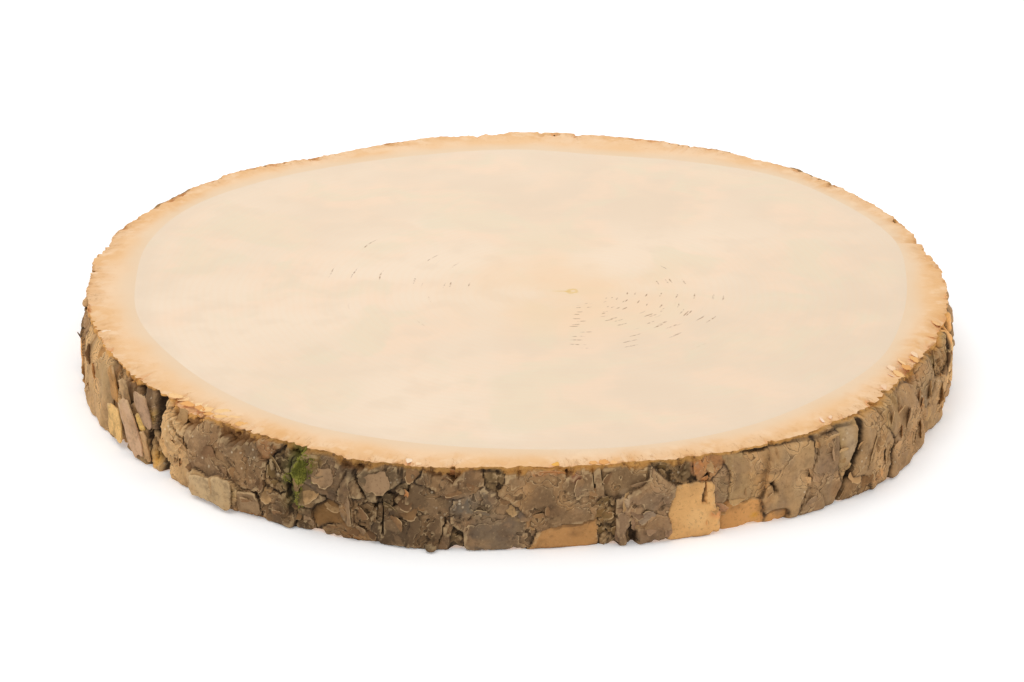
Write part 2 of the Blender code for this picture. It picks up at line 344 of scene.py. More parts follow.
# How light the plates are and how light the whole wall is, how wide its cracks are and how broken it is.
# These count degrees on from the left end of the front.
WALL_LIGHT = [
    (0, 1.55), (14, 1.65), (30, 1.75), (38, 1.35), (46, 1.05), (56, 0.55), (68, 0.55), (76, 0.8), (84, 1),
    (96, 1), (106, 1.15), (112, 1.35), (122, 1.1), (140, 1.2), (152, 1.7), (174, 1.6), (200, 1.1),
    (330, 1.2), (360, 1.55),
]
WALL_SHADE = [
    (0, 1.1), (12, 1.25), (31, 1.25), (39, 1.2), (46, 0.95), (56, 0.72), (72, 0.75), (80, 0.95), (96, 1),
    (101, 0.85), (108, 0.95), (130, 1), (150, 1), (156, 1.25), (174, 1.2), (200, 1.05), (360, 1.1),
]
CRACK_WIDTHS = [
    (0, 0.4), (16, 0.5), (20, 0.75), (31, 0.75), (36, 0.55), (50, 0.5), (54, 0.6), (68, 0.5), (74, 0.3),
    (104, 0.35), (110, 0.45), (124, 0.6), (160, 0.6), (200, 0.5), (360, 0.4),
]
BROKENNESS = [
    (0, 0.35), (12, 0.35), (30, 0.4), (36, 0.8), (42, 0.6), (52, 0.9), (76, 0.9), (84, 0.8), (106, 0.6),
    (112, 0.3), (150, 0.4), (170, 1), (345, 1), (356, 0.35), (360, 0.35),
]

# Where the leaning slabs stand and where the plates are even. These count the same way.
SLAB_STRETCH = [(17.5, 0), (19, 1), (30, 1), (33, 0)]
EVEN_STRETCH = [(107, 0), (111, 0.55), (150, 0.55), (160, 0)]

# How far the long folds lean, in degrees, and how deep they are. These count degrees on from the back.
FOLD_LEANS = [(0, 8), (90, 14), (130, 16), (160, 4), (200, -14), (260, -18), (360, -8)]
FOLD_DEPTHS = [
    (5, 0), (40, 0.5), (98, 0.5), (110, 0.15), (128, 0.15), (133, 0.45), (143, 0.1), (200, 0.1), (212, 0.4),
    (262, 0.35), (290, 0.5), (350, 0.6), (355, 0),
]

# Bearing, height, size and rise of the nub at the lower edge.
NUB = (260.2, 1.5, 1.7, 3.4)

# Bearing, height, half length, half height and rise of the bulges that the moss sits on, beside its fissure.
MOSS_BEDS = [(244.1, 26, 3.2, 6, 1.6), (243.5, 14.5, 1.9, 6.5, 0.8)]
MOSS_FISSURE = 243.2

# The layers that flake off one below another, and the colours of the wall and of the sawn face.
FLAKE_LEVELS = (0.05, 0.32, 0.6)
MOTTLE = (90, 62, 38)
WARM_BROWN = (184, 134, 80)
ROSY_BROWN = (192, 148, 104)
COOL_BROWN = (130, 112, 92)
CELL_TAN = (186, 152, 106)
PORE_DARK = (74, 50, 30)
PORE_PALE = (206, 172, 124)
PEELED = (190, 148, 100)
# Pale rims of plates, sheets and flakes: partly their own colour and partly painted highlight.
PALE_RIM_AND_HIGHLIGHT = (216, 182, 134)
LICHEN = (222, 200, 166)
MOSS_STAIN = (96, 100, 36)
SAWN_TAN = (240, 196, 146)
SAWN_PALE = (243, 207, 167)
SAWN_GREY = (234, 208, 176)
SAWN_CHIP = (250, 218, 180)
SAWN_DEEP = (228, 170, 102)
SAWN_SPLIT = (178, 116, 56)
SAWN_PORE = (206, 152, 96)

# Bearing, height, half length, half height, turn, how far it stands out, how far its edge curls, and tone.
FRONT_PLATES = [
    # The big plate on the left and the leaning slabs beside the groove.
    (191, 14, 8, 12, 0, 2.4, 0.3, "brown"), (199.4, 15.5, 20, 15.5, 8, 4, 0.4, "tan"),
    (210.7, 7.5, 5.2, 9.5, 16, 3.8, 0.5, "pale"), (213.4, 27.5, 4.6, 6.5, 18, 2.6, 0.3, "brown"),
    (216, 12.5, 4.4, 10.5, 16, 4.4, 0.6, "tan"), (218.4, 25, 3.8, 8, 18, 3.4, 0.5, "grey"),
    (218.6, 7, 2.2, 6, 12, 2.6, 0.5, "tan"),
    # The long dark plate right of the groove, and the two thin shells that stand in front of its foot.
    (224.8, 25.5, 4.2, 5, 0, 2.6, 0.3, "tan"), (224.4, 12, 5.4, 11, 12, 3.4, 0.2, "tan"),
    (232.6, 19.5, 16.5, 9.2, -3, 3.4, 0.2, "umber"), (230, 4.5, 6.4, 4.6, 0, 5.2, 0.1, "pale"),
    (233.4, 5.6, 5.4, 6.6, 0, 6.2, 0.1, "pale"), (236.6, 4.4, 5, 5, 0, 3.6, 0.6, "brown"),
    # The broken flakes round the moss.
    (239, 27, 3.2, 4, 0, 1.6, 0.2, "rust"), (240.6, 19, 3.4, 6.5, 0, 2.8, 0.4, "olive"),
    (240, 8, 5.5, 5, 20, 3.6, 0.7, "brown"), (247.6, 22.6, 6.6, 5.2, -10, 4.4, 1.1, "grey"),
    (245.6, 15, 4.6, 4.4, 0, 3.2, 0.9, "tan"), (248.1, 8.4, 5.6, 4.2, 0, 1.6, 0.4, "low"),
    (250.2, 14.4, 2.4, 10.4, 8, 4.4, 0.8, "grey"), (252, 11.4, 3.4, 4.6, 0, 3.4, 0.8, "brown"),
    (244.6, 4.2, 2.6, 4.2, 0, 3, 0.5, "dark"), (250.2, 3, 6, 2.6, 0, 3, 0.5, "brown"),
    (254, 24.4, 7.6, 5.6, -8, 4.8, 1.1, "grey"), (257.8, 29, 4, 3.4, 0, 2.2, 0.4, "brown"),
    (256, 19.4, 4.6, 4.6, 0, 2.6, 0.5, "olive"), (256, 8.8, 4.8, 6.4, 0, 3.4, 0.5, "dark"),
    # The brown and blue-grey plates in the middle, the small nub below them and the bare patch.
    (260, 12.4, 7.2, 10.5, 0, 3.8, 0.3, "brown"), (262.2, 26.6, 9.6, 4.6, 0, 3.6, 0.6, "brown"),
    (263.2, 4, 2.8, 5, 0, 2.2, 0.3, "olive"), (267.8, 12.6, 15.5, 8.8, -5, 3.2, 0.3, "blue"),
    (267.4, 27.6, 3, 4.4, 0, 2.2, 0.2, "olive"), (274, 19.8, 16.5, 11.6, 6, 4.4, 0.5, "brown"),
    (275.9, 5, 11, 6, 8, 2.6, 0, "low"),
    # The rough stretch, the pale plate with its slot and the second bare patch.
    (280.2, 10.4, 4, 8.5, 0, 2.2, 0.3, "olive"), (282.6, 26.4, 8.4, 5.6, 12, 2.8, 0.4, "brown"),
    (285.2, 14, 8.8, 12, 0, 4.8, 0.7, "grey"), (283.6, 5, 2, 5.6, 0, 1.2, 0, "dark"),
    (288.7, 27.4, 6.6, 5, 0, 1.4, 0.3, "rough"), (290.6, 9.8, 8.8, 11.4, 0, 4, 0, "bare"),
    (292.2, 27.4, 4, 5, 0, 3, 0.4, "rust"),
    # The tan plates on the right, which lean the other way.
    (294, 17, 3.2, 6.4, 0, 2.8, 0.2, "grey"), (298, 22, 6.2, 9.4, 0, 2.8, 0.4, "tan"),
    (297, 5, 7, 4.8, 0, 1.2, 0.3, "low"), (303.2, 16, 8, 13, -10, 4.6, 0.5, "pale"),
    (301.8, 3, 4, 3, 0, 2.4, 0.3, "low"), (305.8, 5, 4.4, 5, 0, 4.4, 0.4, "grey"),
    (307.8, 17.6, 7.2, 10, -14, 4.2, 0.4, "mauve"), (311.2, 23, 4.4, 10, -20, 3.8, 0.3, "pale"),
    (316.4, 16.6, 8.6, 12, -20, 4.8, 0.5, "tan"), (313.4, 4, 5, 4.6, -10, 3, 0.4, "brown"),
    (325, 13.4, 10.4, 13, -20, 4.8, 0.4, "tan"), (319.6, 26, 6, 7.6, -16, 4, 0.3, "tan"),
    (330.6, 24.4, 9.4, 7, -16, 3.8, 0.4, "grey"), (336, 9, 10, 9, -12, 4.6, 0.5, "tan"),
]

# Bearing and height of the head, bearing and height of the foot, half width, depth, and share at the rim.
FRONT_FISSURES = [
    (219.9, 31, 220.7, 9, 4.6, 7, 0.12), (220.3, 16, 221.4, 0, 2.8, 6.5, 0),
    (207.6, 31, 210.6, 18, 0.9, 3, 0.15), (214.4, 31, 217, 16, 1.2, 4.4, 0.15),
    (211, 20, 214, 0, 1.1, 4.4, 0), (216.4, 9, 218, 0, 1.5, 4.4, 0), (217.6, 18, 219.2, 4, 0.6, 3, 0),
    (243.4, 31, 243, 6, 1.9, 1.8, 0.1), (242.3, 17, 242.3, 12, 1.1, 3, 0), (251, 27, 253.4, 15, 1, 3, 0),
    (254.2, 20, 254.6, 5, 0.6, 2.4, 0), (261.8, 13, 261, 3, 0.4, 1.4, 0),
    (279.2, 31, 278.8, 23, 0.5, 2.2, 0.2), (283.6, 9, 283.6, 1, 1.2, 2, 0),
    (292.5, 23, 292.2, 14, 0.9, 2, 0), (300.9, 15.4, 301.2, 12.8, 1.1, 2.4, 0),
    (306.9, 30, 304.4, 0, 0.45, 2, 0), (313.8, 29, 310.2, 0, 1.3, 4.2, 0.1),
    (318.6, 30, 313.6, 10, 0.45, 1.6, 0), (323.6, 31, 318.8, 9, 0.45, 1.6, 0),
    (331.4, 31, 326.6, 6, 0.5, 2, 0.1), (338.6, 28, 334.6, 4, 0.5, 2, 0),
]

# Bearing, half length and depth of the cracks that run just under the rim, behind the tops of the plates.
RIM_CRACKS = [(305.5, 27, 2.6), (325, 9, 1.6), (268, 9, 1.2)]

# Bearing, half length, how far down it is torn, how far the rim is broken away there.
TORN_RIM = [
    (194, 14, 2.6, 1), (204, 10, 2.2, 0.6), (213, 8, 2.6, 0.8), (225.5, 9, 5, 2.8), (234, 10, 4.8, 1),
    (243, 6, 2.8, 0.5), (251, 8, 3.4, 0.8), (261.5, 9, 3, 0.5), (270, 6, 2.6, 0.4), (277, 7, 3, 0.6),
    (284, 6, 2.4, 0.4), (290, 8, 2.6, 0.6), (303, 15, 1.2, 0.4), (318, 7, 1.6, 0.8), (329, 7, 3, 2.2),
    (338, 7, 3.4, 1.8), (346, 7, 3, 1.4), (10, 14, 2.6, 1.4), (52, 16, 2.4, 0.3), (96, 14, 2.4, 1),
    (136, 18, 2.6, 0.2), (168, 10, 2.4, 1.6),
]

# Bearing, height, half length, half height, colour and strength of the stains and fresh patches one notices.
STAINS = [
    (210.1, 11.8, 4, 5.5, (214, 172, 102), 0.7), (204.8, 21, 8, 9, (150, 124, 84), 0.5),
    (208, 29, 3, 5, (178, 120, 60), 0.6), (219, 4, 2.8, 4, (240, 176, 74), 0.9),
    (218, 20, 1.8, 2.8, (232, 188, 98), 0.9), (227, 22, 6, 7, (184, 148, 106), 0.6),
    (235.5, 22.5, 9, 5, (112, 84, 58), 0.6), (230.4, 5, 6, 4.5, (184, 154, 114), 0.6),
    (234.3, 8.8, 5, 2.4, (192, 160, 106), 0.6), (235.5, 2.2, 3.2, 1.8, (120, 76, 54), 0.6),
    (237, 0.5, 6.5, 1, (206, 134, 60), 0.9), (238.7, 27.5, 2.2, 3.8, (186, 122, 66), 0.8),
    (241.2, 23, 3.4, 6.5, (82, 62, 34), 0.7), (246, 27.5, 2.6, 3, (150, 118, 54), 0.8),
    (250.3, 12.5, 2.8, 2.6, (176, 118, 62), 0.7), (250.8, 28.5, 2, 1.4, (164, 84, 54), 0.7),
    (251.5, 1.6, 7, 1.5, (186, 122, 62), 0.8), (263.2, 29.8, 7, 1, (184, 112, 62), 0.8),
    (258.1, 29.8, 3.4, 1.1, (184, 134, 60), 0.8), (262.3, 21.2, 1.3, 0.9, (178, 60, 38), 0.8),
    (263.9, 18.2, 4.6, 3.6, (104, 104, 98), 0.85), (266.6, 15.6, 5, 3.4, (116, 104, 82), 0.6),
    (260.2, 1.2, 2.2, 2.2, (84, 70, 44), 0.9), (264.6, 3.4, 8, 1.4, (176, 134, 90), 0.5),
    (268.4, 17.6, 1.8, 0.8, (226, 188, 134), 0.8), (269.4, 14.8, 1.8, 0.8, (226, 188, 134), 0.9),
    (270.5, 11.8, 1.8, 0.8, (220, 180, 126), 0.9), (271.4, 8.6, 1.1, 1.2, (220, 180, 126), 0.8),
    (277.4, 20, 3.4, 5.5, (138, 116, 90), 0.6), (273.4, 29, 8, 0.8, (190, 118, 66), 0.8),
    (276.9, 27, 1.5, 1.3, (142, 58, 38), 0.8), (279.8, 11.5, 1.8, 5, (140, 102, 54), 0.7),
    (284.3, 22.5, 5, 4, (128, 98, 68), 0.6), (282.5, 18, 1.2, 4, (222, 188, 148), 0.7),
    (285.2, 12.5, 2.6, 5, (164, 142, 116), 0.6), (287.2, 6.4, 1.6, 5, (146, 112, 86), 0.6),
    (291.2, 7.6, 4.2, 4, (242, 192, 128), 0.6), (291.3, 27, 2, 3.6, (216, 134, 84), 0.8),
    (294.6, 16.6, 2.2, 5, (110, 98, 70), 0.7), (293.8, 8.6, 2.6, 1.8, (236, 150, 92), 0.7),
    (299, 3.6, 1.8, 1.6, (226, 162, 62), 0.8), (298.5, 23.2, 4, 7, (202, 150, 90), 0.6),
    (304.3, 14.8, 3, 8, (186, 158, 118), 0.5), (308, 15.8, 3.6, 6, (150, 120, 96), 0.5),
    (325, 11, 6, 2.4, (206, 142, 82), 0.5), (331, 28, 6, 3, (204, 142, 84), 0.6),
    (299.5, 27, 7, 3, (200, 146, 90), 0.5), (316, 5, 6, 3, (212, 146, 84), 0.6),
    (333, 16, 5, 7, (196, 150, 100), 0.5), (309.6, 8, 2.6, 5, (186, 134, 84), 0.5),
    (320.5, 19, 3.4, 7, (184, 142, 102), 0.5), (327.6, 21, 4, 5, (202, 160, 118), 0.5),
    (314.6, 22, 2.6, 6, (196, 156, 112), 0.5), (339, 22, 4, 6, (190, 140, 92), 0.5),
    (311.6, 23, 3.2, 8, (212, 180, 142), 0.75), (307, 28, 5, 2.4, (202, 152, 92), 0.6),
    (318, 13, 4, 5, (190, 154, 116), 0.6), (322.6, 9, 3, 5, (176, 140, 100), 0.6),
    (327, 27.6, 5, 2.6, (206, 152, 96), 0.5), (299.8, 14, 2.4, 10, (212, 154, 90), 0.75),
    (302, 7, 2, 5, (146, 118, 88), 0.6), (304.6, 20, 2.6, 7, (206, 160, 108), 0.6),
    (296.4, 22, 1.6, 7, (146, 112, 78), 0.6), (302.6, 24, 2.4, 3.6, (148, 120, 90), 0.6),
    (306, 12, 1.3, 8, (142, 104, 68), 0.6), (299.2, 25, 1.4, 5, (212, 166, 116), 0.6),
    (309.4, 20, 1.4, 6, (128, 98, 72), 0.6), (316, 24, 1.8, 6, (150, 116, 80), 0.5),
    (311, 8, 4, 6, (204, 152, 98), 0.55), (317, 14, 2.2, 10, (206, 150, 90), 0.6),
    (329, 14, 2.6, 10, (206, 150, 92), 0.55), (337, 20, 3, 8, (200, 150, 98), 0.5),
]


def along_the_wall(bearings, start):
    """The way round the rim in millimetres from the bearing start, the shorter way."""
    return np.radians((np.asarray(bearings) - start + 180) % 360 - 180) * RIM_RADIUS


def scattered_plates(random):
    """Plates for the rest of the wall, each tried at a random place and kept where it has room."""
    plates = []
    for _ in range(BACK_TRIES):
        bearing, height = random.uniform(*BACK_ARC), random.uniform(1, THICKNESS - 1)
        half_length, half_height = random.uniform(5, 13), random.uniform(4, 9)
        turn, rise = random.uniform(-25, 25), random.uniform(1.2, 4.6)
        room = [
            (along_the_wall(bearing, other[0]) / (half_length + other[2])) ** 2
            + ((height - other[1]) / (half_height + other[3])) ** 2
            for other in plates
        ]
        if min(room, default=1) > LEAST_ROOM:
            plates.append((bearing, height, half_length, half_height, turn, rise))
    return plates


def scattered_fissures(random):
    """Upright fissures for the rest of the wall, evenly spread and then shifted at random."""
    start, end = BACK_ARC
    fissures = []
    for number in range(BACK_FISSURES):
        head = start + (end - start) * (number + random.uniform(0.2, 0.8)) / BACK_FISSURES
        top, foot = random.uniform(22, 31), random.uniform(0, 8)
        half_width, depth = random.uniform(1.0, 2.4), random.uniform(2.0, 4.0)
        fissures.append((head, top, head + random.uniform(-3, 3), foot, half_width, depth, 0.3))
    return fissures


random = np.random.default_rng(SEED)
back_plates = scattered_plates(random)
fissures = FRONT_FISSURES + scattered_fissures(random)
back_tones = random.choice(["tan", "brown", "grey", "pale", "dark", "low", "olive"], len(back_plates),
                           p=[0.25, 0.22, 0.2, 0.1, 0.1, 0.05, 0.08])
plates = FRONT_PLATES + [
    (*plate, random.uniform(0.1, 1.0), str(tone)) for plate, tone in zip(back_plates, back_tones)
]
shapes = np.array([plate[:7] for plate in plates])
sizes = np.sqrt(shapes[:, 2] * shapes[:, 3])
plate_colours = np.array([linear(TONES[plate[7]])[:3] for plate in plates])
plate_colours *= random.uniform(0.9, 1.1, (len(plates), 1)) * random.uniform(0.97, 1.03, (len(plates), 3))
plate_slopes = random.uniform(-0.11, 0.11, (len(plates), 2))
is_bare = np.array([plate[7] in ("bare", "low") for plate in plates], float)
is_rough = np.array([plate[7] in ("rough", "olive") for plate in plates], float)


def nearest_plate(bearings, heights, shift, lift):
    """Each point's plate, the way to that plate's edge in millimetres, and how far its face stands out."""
    up = heights + lift
    first, second = np.full(bearings.shape, 9.0), np.full(bearings.shape, 9.0)
    owner, runner = np.zeros(bearings.shape, int), np.zeros(bearings.shape, int)
    slope = np.zeros(bearings.shape)
    for number, (bearing, height, half_length, half_height, turn, *_) in enumerate(shapes):
        local = along_the_wall(bearings, bearing) + shift + 1j * (up - height)
        local = local * np.exp(-1j * np.radians(turn))
        reach = (np.abs(local.real / half_length) ** 3 + np.abs(local.imag / half_height) ** 3) ** (1 / 3)
        nearest, next_one = reach < first, (reach >= first) & (reach < second)
        second = np.where(nearest, first, np.where(next_one, reach, second))
        runner = np.where(nearest, owner, np.where(next_one, number, runner))
        first, owner = np.where(nearest, reach, first), np.where(nearest, number, owner)
        leaning = local.real * plate_slopes[number, 0] + local.imag * plate_slopes[number, 1]
        slope = np.where(nearest, leaning, slope)
    to_edge = (second - first) / (1 / sizes[owner] + 1 / sizes[runner])
    curled = 0.6 * shapes[owner, 6] * np.exp(-((np.maximum(to_edge - 0.4, 0) / 1.6) ** 1.5))
    return owner, to_edge, shapes[owner, 5] * flush(bearings, heights) + slope + curled


def broken_cells(places, size, seed):
    """Small broken cells: a random number for each, and a face that slopes at random."""
    found = []
    for point in (places.reshape(-1, 3) + (0, 0, 100.0 * seed)) / size:
        middle = noise.voronoi(point)[1][0]
        tilt = noise.cell_vector(middle * 37.7)
        found.append((tilt.x, (Vector(point) - middle).dot(tilt - Vector((0.5, 0.5, 0.5)))))
    return [np.array(values).reshape(places.shape[:-1]) for values in zip(*found)]


def fissure_cut(bearings, heights, places):
    """How deep the fissures cut into the wall, and how deep they cut into the rim."""
    deepest, at_rim = np.zeros(bearings.shape), np.zeros(bearings.shape)
    wander = layered(places, (0.8, 8, 3), (0.4, 2.5, 10)) * wobble
    for head, top, foot, bottom, half_width, depth, rim_share in fissures:
        share = (heights - bottom) / (top - bottom)
        middle = foot + (head - foot) * np.clip(share, 0, 1)
        across = np.abs(along_the_wall(bearings, middle) + wander)
        past_end = np.maximum(np.abs(heights - (top + bottom) / 2) - (top - bottom) / 2, 0)
        cut = depth * np.exp(-((across / half_width) ** 5) - (past_end / half_width) ** 2)
        deepest = np.maximum(deepest, cut)
        at_rim = np.maximum(at_rim, cut * rim_share)
    return deepest, at_rim


def ease(values, low, high):
    share = np.clip((values - low) / (high - low), 0, 1)
    return share * share * (3 - 2 * share)


def torn_rim(bearings):
    """How far down the wall the rim is torn, and how far it is broken away, at each bearing."""
    places = ring_points(bearings, RIM_RADIUS, 0.0)
    reach, broken = np.full(bearings.shape, 1.0), np.full(bearings.shape, 0.25)
    for bearing, half_length, down, away in TORN_RIM:
        share = np.exp(-((along_the_wall(bearings, bearing) / half_length) ** 4))
        reach = np.maximum(reach, down * share)
        broken = np.maximum(broken, away * share)
    ragged = layered(places, (1, 5, 23), (0.6, 1.8, 27))
    return reach * (1 + 0.4 * ragged), broken * np.clip(1 + 0.55 * ragged, 0.2, 2)


def softened(values, times):
    """A relief with its fine detail rubbed out, more with each time."""
    for _ in range(times):
        values = (np.roll(values, 1, axis=1) + 2 * values + np.roll(values, -1, axis=1)) / 4
        values = np.pad(values, ((1, 1), (0, 0)), "edge")
        values = (values[:-2] + 2 * values[1:-1] + values[2:]) / 4
    return values


def leaning_folds(bearings, heights):
    """Long folds that lean with the slabs: one way left of the groove, the other way on the right."""
    from_back = (bearings + 270) % 360
    lean = np.radians(np.interp(from_back, *zip(*FOLD_LEANS)))
    along = np.radians(from_back) * RIM_RADIUS
    across, up = along * np.cos(lean) + heights * np.sin(lean), heights * np.cos(lean) - along * np.sin(lean)
    depth = 0
    for share, wide, tall, seed in ((0.55, 1.9, 13, 28), (0.25, 0.9, 5, 29)):
        depth += share * lumps(np.stack([across / wide, up / tall, np.full(up.shape, 5.0)], axis=-1), 1, seed)
    return depth * np.interp(from_back, *zip(*FOLD_DEPTHS))


front_bearings = np.linspace(*FRONT_ARC, FRONT_STEPS, endpoint=False)
rest_bearings = np.linspace(FRONT_ARC[1], FRONT_ARC[0] + 360, BACK_STEPS, endpoint=False)
bearings = np.concatenate([front_bearings, rest_bearings])
torn_down, broken_away = torn_rim(bearings)
foot_places = ring_points(bearings, RIM_RADIUS, 0.0)
foot = 1.3 * ease(layered(foot_places, (1, 6, 31), (0.5, 2, 32)), 0.0, 1.2)
shares, _ = np.meshgrid(np.linspace(0, 1, WALL_ROWS + 1), bearings, indexing="ij")
around = np.broadcast_to(bearings, shares.shape)
heights = foot + (THICKNESS - broken_away - foot) * shares
places = ring_points(around, RIM_RADIUS, heights)


def flush(bearings, heights):
    """How much of its stand-out a plate has here: little at the rim, where most plates end level with it."""
    longest_crack = RIM_CRACKS[0][0]
    level = 0.7 - 0.35 * np.exp(-((along_the_wall(bearings[0], longest_crack) / 30) ** 4))
    level += 0.25 * np.exp(-((along_the_wall(bearings[0], BACK_BEARING) / 240) ** 6))
    return 1 - level * ease(torn_down, 4.6, 3.2) * ease(heights[-1] - heights, 9.0, 0.0)


def on_the_way(table):
    """A table's values at the wall's points. Its places are degrees on from the left end of the front."""
    return np.interp((around - FRONT_ARC[0]) % 360, *zip(*table))


slabs = on_the_way(SLAB_STRETCH)
wobble = 1 - 0.65 * slabs - on_the_way(EVEN_STRETCH)
shift = layered(places, (1.3, 9, 2), (0.5, 3.5, 8), (0.15, 1.5, 9)) * wobble
lift = layered(places, (1.3, 9, 1), (0.5, 3.5, 6), (0.15, 1.5, 7)) * wobble
owner, to_edge, _ = nearest_plate(around, heights, shift, lift)

# The face is the mean of four places a quarter of a step away, which keeps its edges from looking stepped.
quarter_row = (THICKNESS / WALL_ROWS) / 4
quarter_column = np.gradient(np.unwrap(bearings, period=360)) / 4
relief = sum(nearest_plate(around + x * quarter_column, heights + y * quarter_row, shift, lift)[2]
             for x, y in [(-1, -1), (1, -1), (-1, 1), (1, 1)]) / 4
bare, rough = is_bare[owner], is_rough[owner]
cell, cell_face = broken_cells(places, 5.0, 18)
bit, bit_face = broken_cells(places, 2.1, 19)
broken = on_the_way(BROKENNESS)
flaking = layered(places, (1, 8, 16), (0.22, 2.5, 17), (0.1, 1.2, 34))
flaking -= 0.3 * bare + 0.5 * np.clip(0.6 - broken, 0, 1)
flaked = sum(ease(flaking, level, level + 0.03) for level in FLAKE_LEVELS) * (1 - bare)
gap = on_the_way(CRACK_WIDTHS) * (0.7 + 0.6 * ease(lumps(places, 12, 13), 0.0, 0.8))
crack = (2.4 * gap - 0.4 + 0.5 * rough + 1.6 * slabs) * np.exp(-((to_edge / gap) ** (2 + 2 * slabs)))
worn = ease(lumps(places, 8, 33), -0.1, 0.5) * broken
relief += (1 - bare) * (0.45 * cell_face + 0.3 * (cell - 0.5)) * worn
relief -= (1 - bare) * 0.5 * flaked * (0.4 + 0.6 * broken)
relief += (1 - 0.6 * bare) * (0.06 + 0.3 * worn * (1 - bare) + 1.2 * rough) * ((bit - 0.5) + 0.8 * bit_face)
nub_bearing, nub_height, nub_size, nub_rise = NUB
nub = (along_the_wall(around, nub_bearing) / nub_size) ** 2 + ((heights - nub_height) / nub_size) ** 2
relief += nub_rise * np.exp(-(nub**2))
for bearing, height, half_length, half_height, rise in MOSS_BEDS:
    off = (along_the_wall(around, bearing) / half_length) ** 2 + ((heights - height) / half_height) ** 2
    relief += rise * np.exp(-(off**1.5))
relief -= 1.7 * slabs * ease(heights, 0.0, 2.0) * (1 - bare)
relief += layered(places, (0.4, 6, 20), (0.14 - 0.06 * bare, 2.4, 21), (0.07, 1.2, 22))
relief += leaning_folds(around, heights) * (1 - bare)
cut, rim_cut = fissure_cut(around, heights, places)
below_rim = heights[-1] - heights
flat_places = places * (1, 1, 0)
under_rim = (below_rim - 1.5 - 0.5 * lumps(flat_places, 9, 39)) / 0.8
for bearing, half_length, depth in RIM_CRACKS:
    across = along_the_wall(around, bearing) / half_length
    cut = np.maximum(cut, depth * np.exp(-(across**6) - under_rim**4))
near_rim = ease(below_rim, 8.0, 1.0)
shoulder = ease(below_rim, torn_down - 0.5, torn_down + 0.3)
fibres = 0.35 * lumps(places * (1, 1, 0.25), 1.5, 24) + 0.5 * (bit - 0.5) * ease(torn_down, 1.5, 3.0)
fibres -= 1.6 * ease(lumps(places * (1, 1, 1.3), 2.6, 38), 0.25, 0.7) * ease(torn_down, 1.6, 3.4)
ragged_rim = layered(flat_places, (0.7, 7, 4), (0.45, 2.2, 11))
ragged_rim -= 2.0 * ease(lumps(flat_places, 3.2, 37), 0.7, 1.0)
radii = RIM_RADIUS + round_the_slice(RIM_SWELLS, around) + ragged_rim * near_rim
radii = radii + (fibres - rim_cut - 0.35 * broken_away) * (1 - shoulder)
relief += round_the_slice(WALL_SWELLS, around)
radii = radii + (relief - crack - cut) * shoulder * (1 - 0.3 * np.exp(-(heights - foot) / 0.7))
steep = np.clip(np.abs(radii - softened(radii, 2)) / 0.9 - 0.4, 0, 0.7)
radii = radii + (softened(radii, 2) - radii) * steep * shoulder

fine = radii - softened(radii, 2)
coarse = radii - softened(radii, 36)
column_widths = np.radians(np.gradient(np.unwrap(bearings, period=360))) * RIM_RADIUS
rise_along = np.gradient(radii, axis=1) / column_widths
rise_up = np.gradient(radii, axis=0) / np.gradient(heights, axis=0)
over = np.maximum.reduce([np.vstack([radii[step:], radii[-step:]]) for step in (1, 2, 3)])
lean_over = np.clip(fine / 0.12, 0, 1) * np.sin(np.pi * shares) ** 0.3
OVERHANG = 0.45
shift_along = -np.clip(rise_along, -1.2, 1.2) * lean_over * OVERHANG
shift_up = -np.clip(rise_up, -1.2, 1.2) * lean_over * OVERHANG
wall_rings = ring_points(around + np.degrees(shift_along / RIM_RADIUS), radii, heights + shift_up)

rim = radii[-1]
inner = wood_radius(bearings)
sawn_rings = []
for depth in SAWN_DEPTHS:
    ring = ring_points(bearings, np.maximum(rim - depth, inner + LEAST_SAWN), THICKNESS)
    face_cell, face = broken_cells(ring * (1, 1, 0), 4.5, 25)
    slack = np.clip(broken_away, 0, 3) * ease(depth, 3.0 + 2.2 * np.clip(broken_away, 0, 3), 0.0)
    chipped = ease(face_cell + 0.3 * np.clip(broken_away - 0.4, 0, 2), 0.75, 0.85) * ease(depth, 7.0, 1.0)
    ring[:, 2] -= np.clip(slack + chipped * (0.7 + 1.6 * face), 0, 3.5)
    sawn_rings.append(ring)
deepest = np.maximum(rim - SAWN_DEPTHS[-1], inner + LEAST_SAWN)
sawn_rings.append(ring_points(bearings, deepest + (inner - deepest) * 0.5, THICKNESS))
inner_rings = [ring_points(bearings, inner, THICKNESS), ring_points(bearings, inner, 0.0)]
foot_rings = [
    ring_points(bearings, inner + (radii[0] - inner) * share, foot * share**8) for share in (0.4, 0.8, 0.93)
]
all_rings = np.array([*wall_rings, *sawn_rings, *inner_rings, *foot_rings])
bark = loft("bark_ring", all_rings, closed=True)

